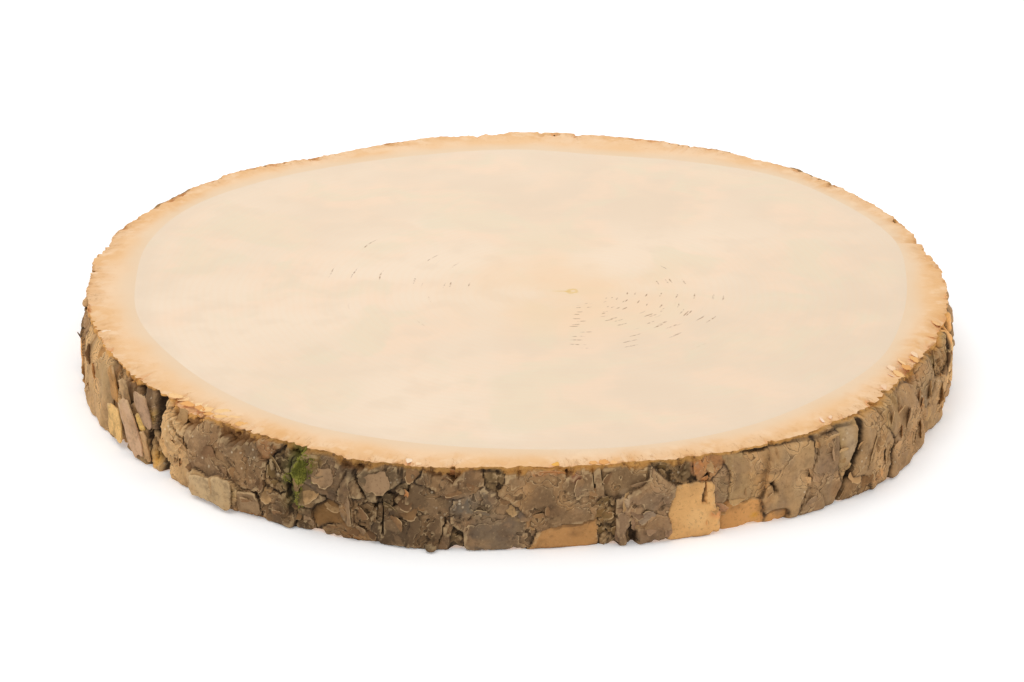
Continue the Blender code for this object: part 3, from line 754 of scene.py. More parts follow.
moss_line = np.abs(along_the_wall(around, MOSS_FISSURE) + 0.6 * lumps(wall_rings, 4, 30)) / 3.0
looks = {
    "edge": to_edge,
    # Painted shade in the cracks between plates and in the fissures, darker where they are deeper.
    "crack_shade": np.clip(crack / 1.8 + cut / 4.5 + 0.3 * rough * (1 - bit), 0, 1) * shoulder,
    "bare": bare * ease(to_edge, 0.1, 0.8),
    "torn": 1 - shoulder,
    "flaking": flaking * (1 - bare),
    # Painted shadow on the wall just below edges that stand out over it.
    "under_shade": np.clip((over - radii - 0.15) / 0.9, 0, 1),
    "cell": cell,
    # Fine relief: its crests get pale rims, partly own colour and partly painted highlight; its small hollows
    # painted shade.
    "crest": np.clip(fine / 0.2, -1, 1) * (0.3 + 0.7 * broken),
    # Painted shade in the broad hollows of the relief.
    "hollow_shade": np.clip(-coarse / 1.3, -1, 1) * (0.3 + 0.7 * broken),
    "shade": on_the_way(WALL_SHADE),
    "mossy": np.exp(-(moss_line**2)) * ease(heights, 5, 12),
    "sunk": np.clip(below_rim / np.maximum(torn_down, 1.2), 0, 1) * ease(torn_down, 1.8, 4.0),
}


def over_all(values, fill):
    """Numbers for the wall, made as long as all the rings of points."""
    rest = len(all_rings) - len(wall_rings)
    shape = (rest * len(bearings), *np.shape(values)[2:])
    return np.concatenate([values.reshape(-1, *np.shape(values)[2:]), np.full(shape, fill)])


# Behind the leaning slabs the plates are darkened by as much as half: painted shade in the slots between the
# slabs.
tones = plate_colours[owner] * (on_the_way(WALL_LIGHT) * (1 - 0.5 * slabs * (1 - bare)))[..., None]
wander_along, wander_up = 0.8 * lumps(wall_rings, 4, 35), 0.8 * lumps(wall_rings, 4, 36)
for bearing, height, half_length, half_height, colour, strength in STAINS:
    off = (along_the_wall(around, bearing) + wander_along) / half_length
    off = off**2 + ((heights + wander_up - height) / half_height) ** 2
    share = (strength * np.exp(-(off**2)))[..., None]
    tones = tones * (1 - share) + np.array(linear(colour)[:3]) * share
tones = over_all(tones, 0.3)
store(bark, "tone", np.column_stack([tones, np.ones(len(tones))]))
for look, values in looks.items():
    store(bark, look, over_all(values, 0.0))
out = np.hypot(all_rings[..., 0], all_rings[..., 1])
store(bark, "from_rim", ((rim - out) * MM).ravel())
store(bark, "from_wood", ((out - inner) * MM).ravel())


def flaky_bark():
    finish, shader, wire, place = new_finish("flaky_bark")
    edge, crack_shade, bare, torn = (wire.attribute(name) for name in ("edge", "crack_shade", "bare", "torn"))
    cell, crest, hollow_shade, flaking = (wire.attribute(name) for name in ("cell", "crest", "hollow_shade", "flaking"))
    whole = 1 - bare
    mottle = wire.noise(place, 0.008, 6.0, Roughness=0.68)
    rosy = wire.noise(place, 0.0065, 5.0, Roughness=0.6, Distortion=0.5)
    coats = [
        (mottle.ease(0.42, 0.68) * 0.5 * (1 - bare * 0.75), MOTTLE),
        (wire.noise(place, 0.013, 4.0).ease(0.54, 0.72) * 0.45, WARM_BROWN),
        (rosy.ease(0.53, 0.56) * 0.3 * whole, ROSY_BROWN),
        (wire.noise(place, 0.019, 4.0, Distortion=0.4).ease(0.56, 0.7) * 0.3 * whole, COOL_BROWN),
        (cell * 0.2 * whole, CELL_TAN),
        (flaking.ease(0.1, -0.1) * whole * 0.3, WEATHERED),
    ]
    # At each level a sheet ends: the peeled face below turns tan, the sheet's edge gets a pale rim, partly
    # painted highlight, and a thin line of painted shadow lies at the foot of the step.
    sharper = flaking + (wire.noise(place, 0.0018, 3.0) - 0.5) * 0.12
    for level in FLAKE_LEVELS:
        above = sharper - level
        coats += [
            (above.ease(-0.01, 0.02) * whole * 0.16, PEELED),
            (above.ease(-0.045, -0.02) * above.ease(0.01, -0.005) * whole * 0.4, PALE_RIM_AND_HIGHLIGHT),
            (above.ease(-0.002, 0.012) * above.ease(0.09, 0.02) * whole * 0.55, CRACK_SHADE),
        ]
    # Pale rims on the crests of the fine relief, partly their own colour and partly painted highlight.
    pale = crest.ease(0.4, 1.0) * wire.noise(place, 0.004, 3.0).ease(0.42, 0.62)
    # Painted shade along the plate edges, where one plate meets the next.
    edge_shade = edge.ease(0.36, 0.1) * wire.noise(place, 0.01).ease(0.3, 0.6)
    dots = wire.node("ShaderNodeTexVoronoi", {}, {"Vector": place, "Scale": 420.0})
    dots = dots - wire.noise(place, 0.002) * 0.16
    dotted = dots.ease(0.14, 0.06) * wire.noise(place, 0.014, 3.0).ease(0.54, 0.66)
    tears = wire.noise(place, 0.0035, 4.0, Roughness=0.7)
    tears_down = tears + wire.attribute("sunk").ease(0.1, 0.8) * 0.3
    torn_colour = tears_down.ease(0.5, 0.66).mix(linear(TORN), linear(TORN_DARK))
    pores = wire.noise(place, 0.0012, 4.0, Roughness=0.75)
    coats += [
        # Painted shade in broad hollows and under edges that stand out; pale crests are partly own colour,
        # partly painted highlight.
        (hollow_shade.ease(0.1, 1.0) * 0.7, CRACK_SHADE), (pale * 0.55, PALE_RIM_AND_HIGHLIGHT), (wire.attribute("under_shade") * 0.6, CRACK_SHADE),
        # Painted shade in small hollows of the fine relief and along the plate edges.
        (crest.ease(-0.2, -0.9) * 0.4, CRACK_SHADE), (edge_shade * 0.75, CRACK_SHADE), (dotted * 0.55, LICHEN),
        (torn * 0.9, torn_colour), (wire.attribute("mossy") * 0.8, MOSS_STAIN),
        # Painted shade in cracks and fissures.
        (crack_shade.ease(0.12, 0.9) * 0.92, CRACK_SHADE),
        (pores.ease(0.54, 0.68) * 0.35, PORE_DARK), (pores.ease(0.44, 0.3) * 0.25, PORE_PALE),
    ]
    colour = wire.vector("SCALE", painted(wire.attribute("tone", "Color"), coats), wire.attribute("shade"))
    plug(shader, Base_Color=colour, Roughness=0.72 + mottle * 0.2, Specular_IOR_Level=0.25)
    plug(shader, Normal=wire.bump(mottle * 0.6 + pores * 0.5 + tears * torn, 0.7, 0.0007))
    return finish


def sawn_bark():
    finish, shader, wire, place = new_finish("sawn_bark")
    from_rim, from_wood = wire.attribute("from_rim"), wire.attribute("from_wood")
    patches = wire.noise(place, 0.03, 4.0)
    inner_part = (from_wood + wire.noise(place, 0.02, 3.0) * 0.006).ease(0.013, 0.003)

    # Fibres run outwards over the ring: the noise is read at the rim, so that it holds along each radius.
    flat = wire.vector("MULTIPLY", place, (1, 1, 0))
    at_rim = wire.vector("SCALE", wire.vector("NORMALIZE", flat), RIM_RADIUS * MM)
    at_rim = wire.vector("ADD", at_rim, wire.vector("SCALE", wire.noise(place, 0.008, 2.0), 0.003))
    at_rim = wire.vector("ADD", at_rim, wire.vector("SCALE", flat, 0.4))
    streak = wire.noise(at_rim, 0.0042, 3.0, Roughness=0.6)
    fine_streak = wire.noise(at_rim, 0.0014, 3.0, Roughness=0.6)
    ragged = from_rim + (wire.noise(place, 0.007, 3.0) - 0.5) * 0.012 + (streak - 0.5) * 0.004
    rough_part = wire.noise(place, 0.016, 3.0).ease(0.4, 0.62)
    split = wire.math("ABSOLUTE", streak - 0.47).ease(0.018, 0.003)
    split = split * (from_rim + (fine_streak - 0.5) * 0.01).ease(0.0065, 0.0025) * patches.ease(0.46, 0.58)
    pores = wire.noise(place, 0.0016, 4.0, Roughness=0.7)
    colour = painted(linear(SAWN_TAN), [
        (patches.ease(0.35, 0.65), SAWN_PALE), (inner_part * 0.75, SAWN_GREY),
        (ragged.ease(0.012, 0.001) * (0.35 + rough_part * 0.3), SAWN_DEEP),
        (wire.noise(place, 0.0065, 4.0).ease(0.5, 0.66) * from_rim.ease(0.013, 0.004) * 0.4, SAWN_CHIP),
        (streak.ease(0.54, 0.7) * from_rim.ease(0.011, 0.002) * rough_part * 0.2, SAWN_CHIP),
        (fine_streak.ease(0.5, 0.35) * from_rim.ease(0.009, 0.001) * rough_part * 0.1, SAWN_DEEP),
        (split * 0.4, SAWN_SPLIT),
        (from_rim.ease(0.0018, 0.0002) * streak.ease(0.6, 0.45) * rough_part * 0.6, SAWN_SPLIT),
        (pores.ease(0.55, 0.72) * from_wood.ease(0.003, 0.012) * 0.25, SAWN_PORE),
    ])
    height = pores * 0.6 + streak * from_rim.ease(0.01, 0.001) * (0.4 + rough_part) - split
    bump = wire.bump(height, 0.4, 0.0006)
    plug(shader, Base_Color=colour, Roughness=0.75, Normal=bump, Specular_IOR_Level=0.25)
    return finish


bark.data.materials.append(flaky_bark())
bark.data.materials.append(sawn_bark())
which = np.ones(len(bark.data.polygons), np.int32)
which[:WALL_ROWS * len(bearings)] = 0
bark.data.polygons.foreach_set("material_index", which)
bark.data.set_sharp_from_angle(angle=np.radians(50))
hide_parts("bark")
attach(bark, "root")


# Loose flakes. Thin chips of dead bark that still hold on by one side and curl away from the wall at the
# other. The larger ones in front are set one by one, the small ones all round at random beside plate edges.
FLAKE_SHAPES = 6
SLAB_SHAPES = 8
FLAKE_COLUMNS = 8
FLAKE_ROWS = 7
SMALL_FLAKES = 260
SLAB_FORM = {
    "corners": 4, "least": 0.8, "skew": 0.2, "curled": 0.02, "thickness": 0.11, "ragged": (0.9, 1.04),
}
FLAKE_MOTTLE = (84, 60, 38)
FLAKE_WARM = (186, 140, 88)

# Bearing, height, half length, half height, turn of the free side away from upwards, lift of that side, tone.
SET_FLAKES = [
    (225.6, 17, 2.4, 4, 20, 10, "tan"), (224.6, 25.6, 3.6, 3.4, 160, 8, "tan"),
    (236.8, 5.4, 3.8, 3.8, 20, 13, "brown"), (239.6, 9.4, 4, 2.8, 150, 15, "tan"),
    (241, 5, 3, 2.6, 10, 16, "brown"), (238.6, 13.4, 2.8, 2.6, 190, 13, "brown"),
    (240.4, 15.6, 2.2, 2.4, 40, 14, "olive"), (240.6, 23, 2.6, 4.2, -60, 12, "olive"),
    (247.5, 22.8, 5.8, 4.2, 176, 15, "grey"), (245.6, 15.4, 4, 3.4, 200, 14, "tan"),
    (250.3, 15, 2.2, 9, -84, 16, "grey"), (252, 11.6, 3.4, 3.4, -60, 14, "brown"),
    (254.2, 24, 7, 4.6, 188, 13, "grey"), (257.2, 21.6, 2.4, 2.2, -70, 18, "rust"),
    (248.4, 11.4, 4.6, 1.7, 178, 16, "tan"), (245, 4.4, 2.2, 3.6, 10, 10, "grey"),
    (248, 3.4, 3.2, 2.4, 15, 13, "brown"), (251.6, 4.4, 3, 2.6, -30, 12, "grey"),
    (257.8, 28.2, 3.2, 2.4, 150, 10, "brown"), (256.2, 9.6, 3, 4.2, -70, 9, "brown"),
    (262.3, 28.6, 7.4, 1.6, 2, 10, "rust"), (262.6, 22.6, 3.6, 1.6, 184, 12, "brown"),
    (269.4, 15.2, 4.8, 1.1, 222, 18, "pale"), (271.6, 9.4, 1.3, 2.6, -60, 14, "pale"),
    (273.6, 28.9, 7.6, 1.2, 2, 10, "rust"), (280.6, 26, 2.4, 3.4, 70, 12, "brown"),
    (280, 18.2, 2.6, 2.4, 30, 14, "olive"), (280.8, 12.4, 2, 2.6, -20, 14, "brown"),
    (279.8, 6, 2.2, 2.4, 10, 13, "olive"), (282.5, 17.6, 1.7, 4.2, 84, 16, "pale"),
    (284.6, 23.6, 4.2, 2, 0, 10, "grey"), (287.4, 29, 2.2, 1.8, -30, 18, "olive"),
    (289.6, 27, 2, 2.2, 60, 20, "dark"), (291.5, 27, 1.8, 3.4, 170, 10, "rust"),
    (293, 26.4, 1.8, 3.2, 190, 12, "tan"), (293.4, 10, 2.4, 1.7, 160, 16, "bare"),
    (294.8, 7.4, 1.8, 1.6, 200, 16, "bare"), (292.6, 5.8, 1.6, 1.3, 120, 16, "bare"),
    (300.4, 11, 2.4, 1.7, 40, 16, "pale"), (297.6, 14, 1.8, 2.2, 100, 10, "tan"),
    (305.8, 5.2, 3.8, 4, 10, 10, "grey"), (308.6, 27.2, 4.6, 2.8, 6, 6, "tan"),
    (314.8, 16.4, 2.6, 8.6, 72, 12, "pale"), (318.6, 10, 3.4, 5.4, 100, 9, "tan"),
    (319.4, 24.4, 3, 4.4, 80, 14, "tan"), (324, 19, 3.2, 5.4, 70, 13, "grey"),
    (328.2, 8.4, 4, 4.4, 96, 12, "tan"), (331.8, 20, 3.2, 5, 76, 13, "pale"),
    (336.6, 12.4, 3.6, 5.6, 80, 12, "tan"), (341, 20, 3.4, 5, 70, 14, "grey"),
    (198, 22, 4, 5, -70, 12, "grey"), (194, 10, 4, 6, -80, 12, "tan"), (202, 27, 3, 2.6, 160, 12, "low"),
]

# Flat slabs of dead bark: bearing, height, half width, half height, turn, stand-out and colour.
SLABS = [
    (209.9, 7.2, 6.4, 7, 6, 2, (240, 192, 120)), (208.4, 22.4, 3.6, 6.6, 16, 1.2, (196, 144, 84)),
    (212.6, 23.6, 3.4, 6.2, 18, 1.5, (196, 156, 108)), (214.9, 11.6, 5, 11, 20, 2.4, (206, 166, 128)),
    (217.4, 23.4, 4.4, 6.8, 14, 1.8, (186, 148, 114)), (217.6, 7.4, 2.2, 6.2, 10, 1.6, (202, 158, 108)),
    (216.7, 16.6, 1.9, 3.6, 30, 2.6, (240, 194, 110)), (236.8, 4.8, 5.4, 4.2, 4, 0.1, (158, 126, 90)),
    (230, 5.2, 6, 4.6, 6, 0.4, (200, 168, 124)), (233.5, 6.4, 5.2, 5.8, -8, 0.8, (192, 160, 116)),
]

# Bearing, way in from the rim, half length, half width, turn, tilt up from the sawn face, and colour.
RIM_CHIPS = [
    (221.8, 2.2, 3.6, 1.3, 30, 24, (250, 204, 146)), (223, 4.4, 4.2, 1.2, 50, 18, (252, 212, 158)),
    (224.2, 2.4, 3.8, 1.4, 20, 26, (240, 176, 106)), (225.4, 4.8, 4, 1.1, 60, 20, (252, 216, 166)),
    (226.2, 1.6, 3.2, 1.3, 0, 28, (236, 170, 100)), (227.4, 3.6, 4.4, 1.2, 34, 20, (250, 206, 146)),
    (228.8, 2, 3.4, 1, 15, 22, (236, 176, 104)), (230.4, 2.6, 3.4, 1, 40, 14, (246, 198, 134)),
    (257.2, 3, 1.9, 1.3, 60, 10, (252, 226, 196)), (258.4, 1.6, 1.4, 0.9, 10, 12, (250, 214, 170)),
    (274.6, 0.6, 1.5, 1.1, 0, 16, (240, 180, 88)), (279, 0.8, 2.2, 1, 0, 14, (236, 176, 110)),
    (280.2, 1.4, 2.6, 1.4, 15, 12, (232, 168, 100)), (281.4, 0.8, 1.8, 1, -10, 14, (244, 190, 128)),
    (309.6, 3.6, 2.4, 1, 60, 14, (252, 220, 192)), (311, 3, 1.8, 0.8, 30, 16, (250, 212, 176)),
    (322.4, 2.6, 2.4, 1.2, 20, 14, (248, 208, 170)), (326, 3.4, 2.2, 1, 70, 16, (252, 218, 188)),
    (340.2, 2.4, 3.4, 0.8, 85, 12, (250, 206, 150)), (327.4, 2, 3.4, 2.4, 40, 10, (246, 196, 132)),
    (328.6, 4.8, 3.6, 2.2, 30, 8, (252, 218, 180)), (329.8, 1.6, 3, 2.2, 20, 12, (236, 172, 100)),
    (331, 4.4, 3.8, 2, 35, 8, (250, 206, 150)), (332, 1.4, 2.6, 2, 10, 12, (240, 182, 112)),
    (333.4, 3, 3.2, 1.8, 30, 8, (252, 216, 176)), (345, 2.4, 3.4, 2, 30, 10, (242, 190, 128)),
    (222.4, 6.4, 4.4, 1.5, 66, 16, (254, 220, 174)), (224.6, 7.4, 4.8, 1.4, 72, 14, (252, 214, 164)),
    (226.8, 6.6, 5, 1.5, 58, 16, (252, 218, 170)), (229.4, 5.6, 4.6, 1.3, 48, 14, (250, 208, 150)),
    (231.8, 4.4, 4, 1.2, 44, 14, (250, 206, 150)), (233.6, 2.8, 3.6, 1.3, 30, 18, (240, 184, 114)),
    (198.4, 3, 2.6, 0.9, 80, 12, (250, 222, 190)),
]


def flake_shape(seed, corners=5, least=0.6, skew=0.4, curled=0.13, thickness=0.07, ragged=(0.82, 1.1)):
    """One chip, a curved sheet with an angular outline that gets thin towards it. Its free side is +Y."""
    random = np.random.default_rng(seed)
    across, along = np.meshgrid(np.linspace(-1, 1, FLAKE_COLUMNS), np.linspace(-1, 1, FLAKE_ROWS))
    bearing, share = np.arctan2(along, across), np.maximum(np.abs(across), np.abs(along))
    sides = np.linspace(0, 2 * np.pi, corners, endpoint=False) + random.uniform(-skew, skew, corners)
    to_side = np.abs((bearing[..., None] - sides + np.pi) % (2 * np.pi) - np.pi)
    turn_to_side = np.cos(np.clip(to_side, 0, 1.25))
    reach = np.minimum((random.uniform(least, 0.95, corners) / turn_to_side).min(axis=-1), 1.08)
    reach *= random.uniform(*ragged, across.shape) ** share
    x, y = reach * share * np.cos(bearing), reach * share * np.sin(bearing)
    curl = curled * (y + 1) ** 2 + 0.45 * curled * x**2 + random.uniform(-0.03, 0.03, x.shape)
    thick = thickness * (1 - 0.6 * share**3)
    front, back = (np.stack([x, y, curl + side * thick], axis=-1).reshape(-1, 3) for side in (1, -1))
    index = np.arange(across.size).reshape(across.shape)
    quads = np.stack([index[:-1, :-1], index[:-1, 1:], index[1:, 1:], index[1:, :-1]], axis=-1).reshape(-1, 4)
    border = [*index[0], *index[1:, -1], *index[-1, -2::-1], *index[-2:0:-1, 0]]
    walls = [[a, a + index.size, b + index.size, b] for a, b in zip(border, border[1:] + border[:1])]
    mesh = bpy.data.meshes.new("flake_shape")
    faces = [*quads.tolist(), *(quads[:, ::-1] + index.size).tolist(), *walls]
    mesh.from_pydata(np.concatenate([front, back]).tolist(), [], faces)
    mesh.shade_smooth()
    piece = bpy.data.objects.new(f"flake_shape_{seed:02d}", mesh)
    store(piece, "rim", np.tile((share * ease(y, -0.3, 0.5)).ravel(), 2))
    return piece


def set_out(name, seats, shapes, finish):
    """Places shapes on seats with Geometry Nodes. A seat is a place in millimetres, a turn, a size, which of
    the shapes it takes, and a colour."""
    tree = bpy.data.node_groups.new(name, "GeometryNodeTree")
    kinds = {"Seats": "Geometry", "Shapes": "Collection", "Size": "Float", "Finish": "Material"}
    sockets = {}
    for label, kind in kinds.items():
        socket = tree.interface.new_socket(label, in_out="INPUT", socket_type=f"NodeSocket{kind}")
        sockets[label] = socket.identifier
    tree.interface.new_socket("Pieces", in_out="OUTPUT", socket_type="NodeSocketGeometry")
    wire = Wire(tree)
    given = tree.nodes.new("NodeGroupInput")
    ends = {label: Wire(tree, given.outputs[label]) for label in sockets}
    turn, size, pick = (
        wire.node("GeometryNodeInputNamedAttribute", {"data_type": kind}, {"Name": label})
        for label, kind in (("turn", "FLOAT_VECTOR"), ("size", "FLOAT_VECTOR"), ("pick", "INT"))
    )
    scaled = wire.vector("SCALE", size, ends["Size"])
    shape = wire.node("GeometryNodeCollectionInfo", {}, {0: ends["Shapes"], 1: True, 2: True})
    rotation = wire.node("FunctionNodeEulerToRotation", {}, {0: turn})
    placed = wire.node("GeometryNodeInstanceOnPoints", {}, {
        "Points": ends["Seats"], "Instance": shape, "Pick Instance": True, "Instance Index": pick,
        "Rotation": rotation, "Scale": scaled,
    })
    solid = wire.node("GeometryNodeRealizeInstances", {}, {"Geometry": placed})
    dressed = wire.node("GeometryNodeSetMaterial", {}, {"Geometry": solid, "Material": ends["Finish"]})
    result = tree.nodes.new("NodeGroupOutput")
    tree.links.new(dressed.socket, result.inputs["Pieces"])

    drawer = bpy.data.collections.new(f"{name}_shapes")
    for shape_object in shapes:
        drawer.objects.link(shape_object)
    places, turns, scales, picks, colours = (np.array(column, float) for column in zip(*seats))
    mesh = bpy.data.meshes.new(name)
    mesh.from_pydata((places * MM).tolist(), [], [])
    holder = bpy.data.objects.new(name, mesh)
    bpy.context.scene.collection.objects.link(holder)
    for label, values in (("turn", turns), ("size", scales * MM)):
        layer = mesh.attributes.new(label, "FLOAT_VECTOR", "POINT")
        layer.data.foreach_set("vector", values.astype(np.float32).ravel())
    layer = mesh.attributes.new("pick", "INT", "POINT")
    layer.data.foreach_set("value", picks.astype(np.int32))
    store(holder, "tone", np.column_stack([colours, np.ones(len(colours))]))
    modifier = holder.modifiers.new(name, "NODES")
    modifier.node_group = tree
    modifier[sockets["Shapes"]] = drawer
    modifier[sockets["Size"]] = 1.0
    modifier[sockets["Finish"]] = finish
    evaluated = holder.evaluated_get(bpy.context.evaluated_depsgraph_get())
    made = bpy.data.meshes.new_from_object(evaluated)
    holder.modifiers.clear()
    holder.data = made
    for shape_object in shapes:
        bpy.data.objects.remove(shape_object)
    bpy.data.collections.remove(drawer)
    return holder


def seat_at(wall, bearing, height, sunk):
    """A place on the wall, or on its rubbed-out relief, in millimetres and sunk a little."""
    column = np.argmin(np.abs(along_the_wall(bearings, bearing)))
    row = np.argmin(np.abs(heights[:, column] - height))
    return ring_points(bearing, wall[row, column] - sunk, height)


def within(height, wide, high, turn):
    """The height nearest to the one asked for at which a chip stays clear of the base and the top."""
    reach = np.hypot(wide * np.sin(np.radians(turn)), high * np.cos(np.radians(turn))) * 1.05 + 0.5
    reach = min(reach, THICKNESS / 2)
    return np.clip(height, reach, THICKNESS - reach)


def turned_out(bearing, turn, lean, yaw=0.0):
    """The turn of a chip whose back is on the wall, leaning out at its free side."""
    facing = Matrix.Identity(3)
    for angle, axis in ((bearing + 90 + yaw, "Z"), (90, "X"), (turn, "Z"), (lean, "X")):
        facing = facing @ Matrix.Rotation(np.radians(angle), 3, axis)
    return facing.to_euler()


def flake_finish():
    finish, shader, wire, place = new_finish("flake")
    mottle = wire.noise(place, 0.006, 6.0, Roughness=0.68)
    # The curled free edge of each chip is pale, partly its own colour and partly painted highlight.
    pale = wire.attribute("rim").ease(0.8, 1.0) * wire.noise(place, 0.004, 3.0).ease(0.35, 0.6)
    pores = wire.noise(place, 0.0012, 4.0, Roughness=0.75)
    colour = painted(wire.attribute("tone", "Color"), [
        (mottle.ease(0.42, 0.68) * 0.5, FLAKE_MOTTLE),
        (wire.noise(place, 0.011, 3.0).ease(0.52, 0.7) * 0.4, FLAKE_WARM),
        (pale * 0.7, PALE_RIM_AND_HIGHLIGHT), (pores.ease(0.54, 0.68) * 0.35, PORE_DARK),
    ])
    plug(shader, Base_Color=colour, Roughness=0.74 + mottle * 0.18, Specular_IOR_Level=0.25)
    plug(shader, Normal=wire.bump(mottle * 0.6 + pores * 0.5, 0.7, 0.0006))
    return finish


def chip_finish():
    finish, shader, wire, place = new_finish("rim_chip")
    pores = wire.noise(place, 0.0012, 4.0, Roughness=0.75)
    colour = painted(wire.attribute("tone", "Color"), [(pores.ease(0.5, 0.7) * 0.3, SAWN_DEEP)])
    bump = wire.bump(pores, 0.4, 0.0004)
    plug(shader, Base_Color=colour, Roughness=0.75, Normal=bump, Specular_IOR_Level=0.25)
    return finish


soft_wall = softened(radii, 10)
random = np.random.default_rng(SEED + 1)
seats = []
for bearing, height, half_length, half_height, turn, lean, tone in SET_FLAKES:
    colour = np.array(linear(TONES[tone])[:3]) * random.uniform(0.92, 1.08)
    # A chip's own Y is its free side, so a chip turned on its side swaps length and height.
    sideways = abs(np.sin(np.radians(turn)))
    wide = half_length * (1 - sideways) + half_height * sideways
    high = half_height * (1 - sideways) + half_length * sideways
    size = (wide, high, min(wide, high, 5.0) * 1.1)
    place = seat_at(soft_wall, bearing, within(height, wide, high, turn), 0.3)
    seats.append((place, turned_out(bearing, turn, lean), size, random.integers(FLAKE_SHAPES), colour))
steps = np.clip(over - radii, 0, 3) + np.clip(fine, 0, 1) * 2
chances = (steps * (1 - bare) * (below_rim > 3) * (heights > 2.5)).ravel()
picked = random.choice(chances.size, SMALL_FLAKES, replace=False, p=chances / chances.sum())
for spot in picked:
    bearing, height = around.ravel()[spot], heights.ravel()[spot]
    size = random.uniform(1.2, 3.2) * np.array([random.uniform(0.9, 1.5), random.uniform(0.7, 1.1), 1.0])
    colour = tones[spot, :3] * random.uniform(0.85, 1.25)
    turn = random.choice([0, 180, 90, -90]) + random.uniform(-40, 40)
    place = seat_at(soft_wall, bearing, within(height, size[0], size[1], turn), 0.1)
    facing = turned_out(bearing, turn, random.uniform(2, 22))
    seats.append((place, facing, size, random.integers(FLAKE_SHAPES), colour))
for number, (bearing, height, half_width, half_height, turn, out, colour) in enumerate(SLABS):
    facing = turned_out(bearing, turn, random.uniform(-2, 3), random.uniform(-3, 3))
    size = (half_width * 1.12, half_height * 1.12, 6.0)
    place = seat_at(soft_wall, bearing, within(height, size[0], size[1], turn), -out)
    seats.append((place, facing, size, FLAKE_SHAPES + number % SLAB_SHAPES, linear(colour)[:3]))
shapes_made = [flake_shape(seed) for seed in range(FLAKE_SHAPES)]
shapes_made += [flake_shape(FLAKE_SHAPES + seed, **SLAB_FORM) for seed in range(SLAB_SHAPES)]
flakes = set_out("loose_flakes", seats, shapes_made, flake_finish())
flakes.data.set_sharp_from_angle(angle=np.radians(50))
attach(flakes, "root")

seats = []
for bearing, inward, half_length, half_width, turn, tilt, colour in RIM_CHIPS:
    column = np.argmin(np.abs(along_the_wall(bearings, bearing)))
    place = ring_points(bearing, rim[column] - inward, THICKNESS + 0.1 - min(0.7 * broken_away[column], 1.2))
    size = (half_length, half_width, half_width)
    facing = turned_out(bearing, 0, 0.5 * tilt - 90, turn)
    seats.append((place, facing, size, random.integers(FLAKE_SHAPES), linear(colour)[:3]))
chips = set_out("rim_chips", seats, [flake_shape(seed) for seed in range(FLAKE_SHAPES)], chip_finish())
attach(chips, "root")


# The moss. Small leafy tufts rooted in the fissure beside the long dark plate, thick under the rim where
# water runs down and thin below, each a few pointed leaves that spread from one foot.
MOSS_SHAPES = 4
MOSS_LEAVES = 9
MOSS_TIP = (172, 166, 72)
MOSS_FOOT = (58, 64, 20)

# Bearing, height, spread along and up the wall, number of tufts, size of a tuft.
MOSS_PATCHES = [
    (244.6, 26.2, 2.1, 4.6, 340, 1.1), (244.2, 20.8, 1.6, 3.4, 130, 0.9), (245.5, 25.6, 2.2, 4, 70, 0.7),
    (243.5, 15.4, 1.2, 4.4, 150, 0.85), (243.9, 9.4, 1, 2.2, 40, 0.7), (242.4, 19, 1.3, 3.2, 30, 0.65),
]


def moss_shape(seed):
    """One tuft: narrow pointed leaves that leave one foot at random slants, each a closed sliver."""
    random = np.random.default_rng(seed)
    points, faces, tips = [], [], []
    for number in range(MOSS_LEAVES):
        heading = Matrix.Rotation(number * 2.4 + random.uniform(-0.4, 0.4), 3, "Z")
        slant = Matrix.Rotation(random.uniform(0.1, 1.25), 3, "X")
        long, wide = random.uniform(0.7, 1.15), random.uniform(0.13, 0.2)
        leaf = [(-wide, 0, 0), (wide, 0, 0), (0, 0.08, 0), (-wide * 0.9, 0.03, long * 0.5),
                (wide * 0.9, 0.03, long * 0.5), (0, 0.12, long * 0.5), (0, -0.12, long)]
        first = len(points)
        points += [heading @ slant @ Vector(point) for point in leaf]
        sides = [(2, 1, 0), (0, 1, 4, 3), (1, 2, 5, 4), (2, 0, 3, 5), (3, 4, 6), (4, 5, 6), (5, 3, 6)]
        faces += [[first + index for index in side] for side in sides]
        tips += [0, 0, 0, 0.5, 0.5, 0.5, 1]
    mesh = bpy.data.meshes.new("moss_shape")
    mesh.from_pydata(points, [], faces)
    mesh.shade_smooth()
    piece = bpy.data.objects.new(f"moss_shape_{seed:02d}", mesh)
    store(piece, "tip", np.array(tips))
    return piece


def moss_finish():
    finish, shader, wire, place = new_finish("moss")
    tip = wire.attribute("tip") + wire.noise(place, 0.002, 3.0) - 0.5
    pores = wire.noise(place, 0.0008, 3.0)
    colour = painted(linear(MOSS_FOOT), [
        (tip.ease(0.0, 0.9), wire.attribute("tone", "Color")),
        (wire.noise(place, 0.005, 3.0).ease(0.5, 0.65) * 0.5, MOSS_FOOT),
    ])
    plug(shader, Base_Color=colour, Roughness=0.8 + pores * 0.1, Specular_IOR_Level=0.2)
    plug(shader, Normal=wire.bump(pores, 0.4, 0.0003))
    return finish


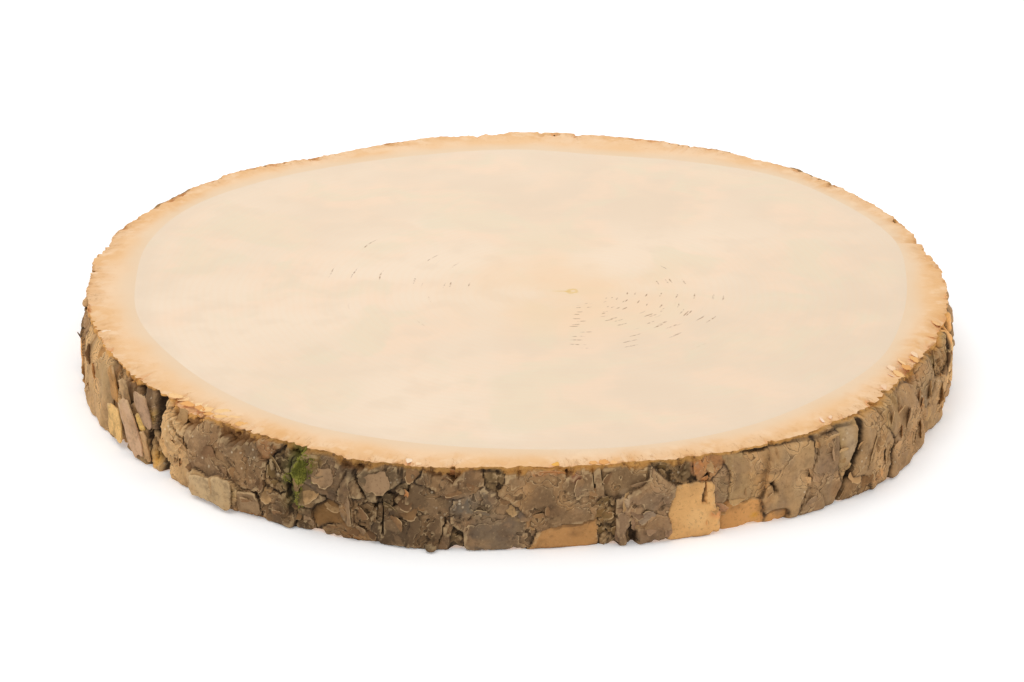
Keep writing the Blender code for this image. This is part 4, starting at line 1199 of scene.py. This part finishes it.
random = np.random.default_rng(SEED + 2)
seats = []
for bearing, height, spread, tall, count, size in MOSS_PATCHES:
    for along, up in random.normal(0, 0.5, (count, 2)):
        at = np.clip(height + up * tall, 1, THICKNESS - 1.5)
        around_wall = bearing + np.degrees(along * spread / RIM_RADIUS)
        turns = random.uniform(0, 360), random.uniform(-25, 25), random.uniform(-25, 25)
        facing = turned_out(around_wall, *turns)
        colour = np.array(linear(MOSS_TIP)[:3]) * random.uniform(0.6, 1.15)
        scale = [size * random.uniform(0.7, 1.2)] * 3
        place = seat_at(radii, around_wall, at, 0.1)
        seats.append((place, facing, scale, random.integers(MOSS_SHAPES), colour))
moss = set_out("moss_tufts", seats, [moss_shape(seed) for seed in range(MOSS_SHAPES)], moss_finish())
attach(moss, "root")


# The stage: a white floor under soft light from all round, with one large lamp high on the left.
ROOM_LIGHT = 0.72
FLOOR_GLOW = 0.2
CAMERA_RISE = 23.8
CAMERA_AWAY = 1.2
LENS = 111.2
AIM = Vector((-1.7, -61.7, THICKNESS)) * MM

floor_mesh = bpy.data.meshes.new("floor")
floor_mesh.from_pydata([(-6, -6, 0), (6, -6, 0), (6, 6, 0), (-6, 6, 0)], [], [(0, 1, 2, 3)])
floor = bpy.data.objects.new("floor", floor_mesh)
bpy.context.scene.collection.objects.link(floor)
paper, paper_shader, *_ = new_finish("white_paper")
plug(paper_shader, Base_Color=linear((250, 250, 250)), Roughness=0.9, Specular_IOR_Level=0.0)
plug(paper_shader, Emission_Color=(1, 1, 1, 1), Emission_Strength=FLOOR_GLOW)
floor_mesh.materials.append(paper)

world = bpy.data.worlds.new("soft_room")
world.use_nodes = True
world.node_tree.nodes["Background"].inputs["Color"].default_value = (1, 1, 1, 1)
world.node_tree.nodes["Background"].inputs["Strength"].default_value = ROOM_LIGHT
bpy.context.scene.world = world


def lamp(name, place, size, power):
    light = bpy.data.lights.new(name, "AREA")
    light.size, light.energy = size, power
    holder = bpy.data.objects.new(name, light)
    holder.location = place
    holder.rotation_euler = (-Vector(place)).to_track_quat("-Z", "Y").to_euler()
    bpy.context.scene.collection.objects.link(holder)


lamp("key", (-0.4, -0.4, 1.8), 1.2, 9.5)
lamp("fill", (1.2, -1.0, 1.2), 1.2, 2)
lamp("back", (0.0, 1.0, 0.36), 0.6, 2.0)

lens = bpy.data.cameras.new("camera")
lens.lens, lens.sensor_width = LENS, 36
camera = bpy.data.objects.new("camera", lens)
rise = np.radians(CAMERA_RISE)
camera.location = AIM + Vector((0, -np.cos(rise), np.sin(rise))) * CAMERA_AWAY
camera.rotation_euler = (np.pi / 2 - rise, 0, 0)
bpy.context.scene.collection.objects.link(camera)
bpy.context.scene.camera = camera
bpy.context.scene.view_settings.view_transform = "Standard"
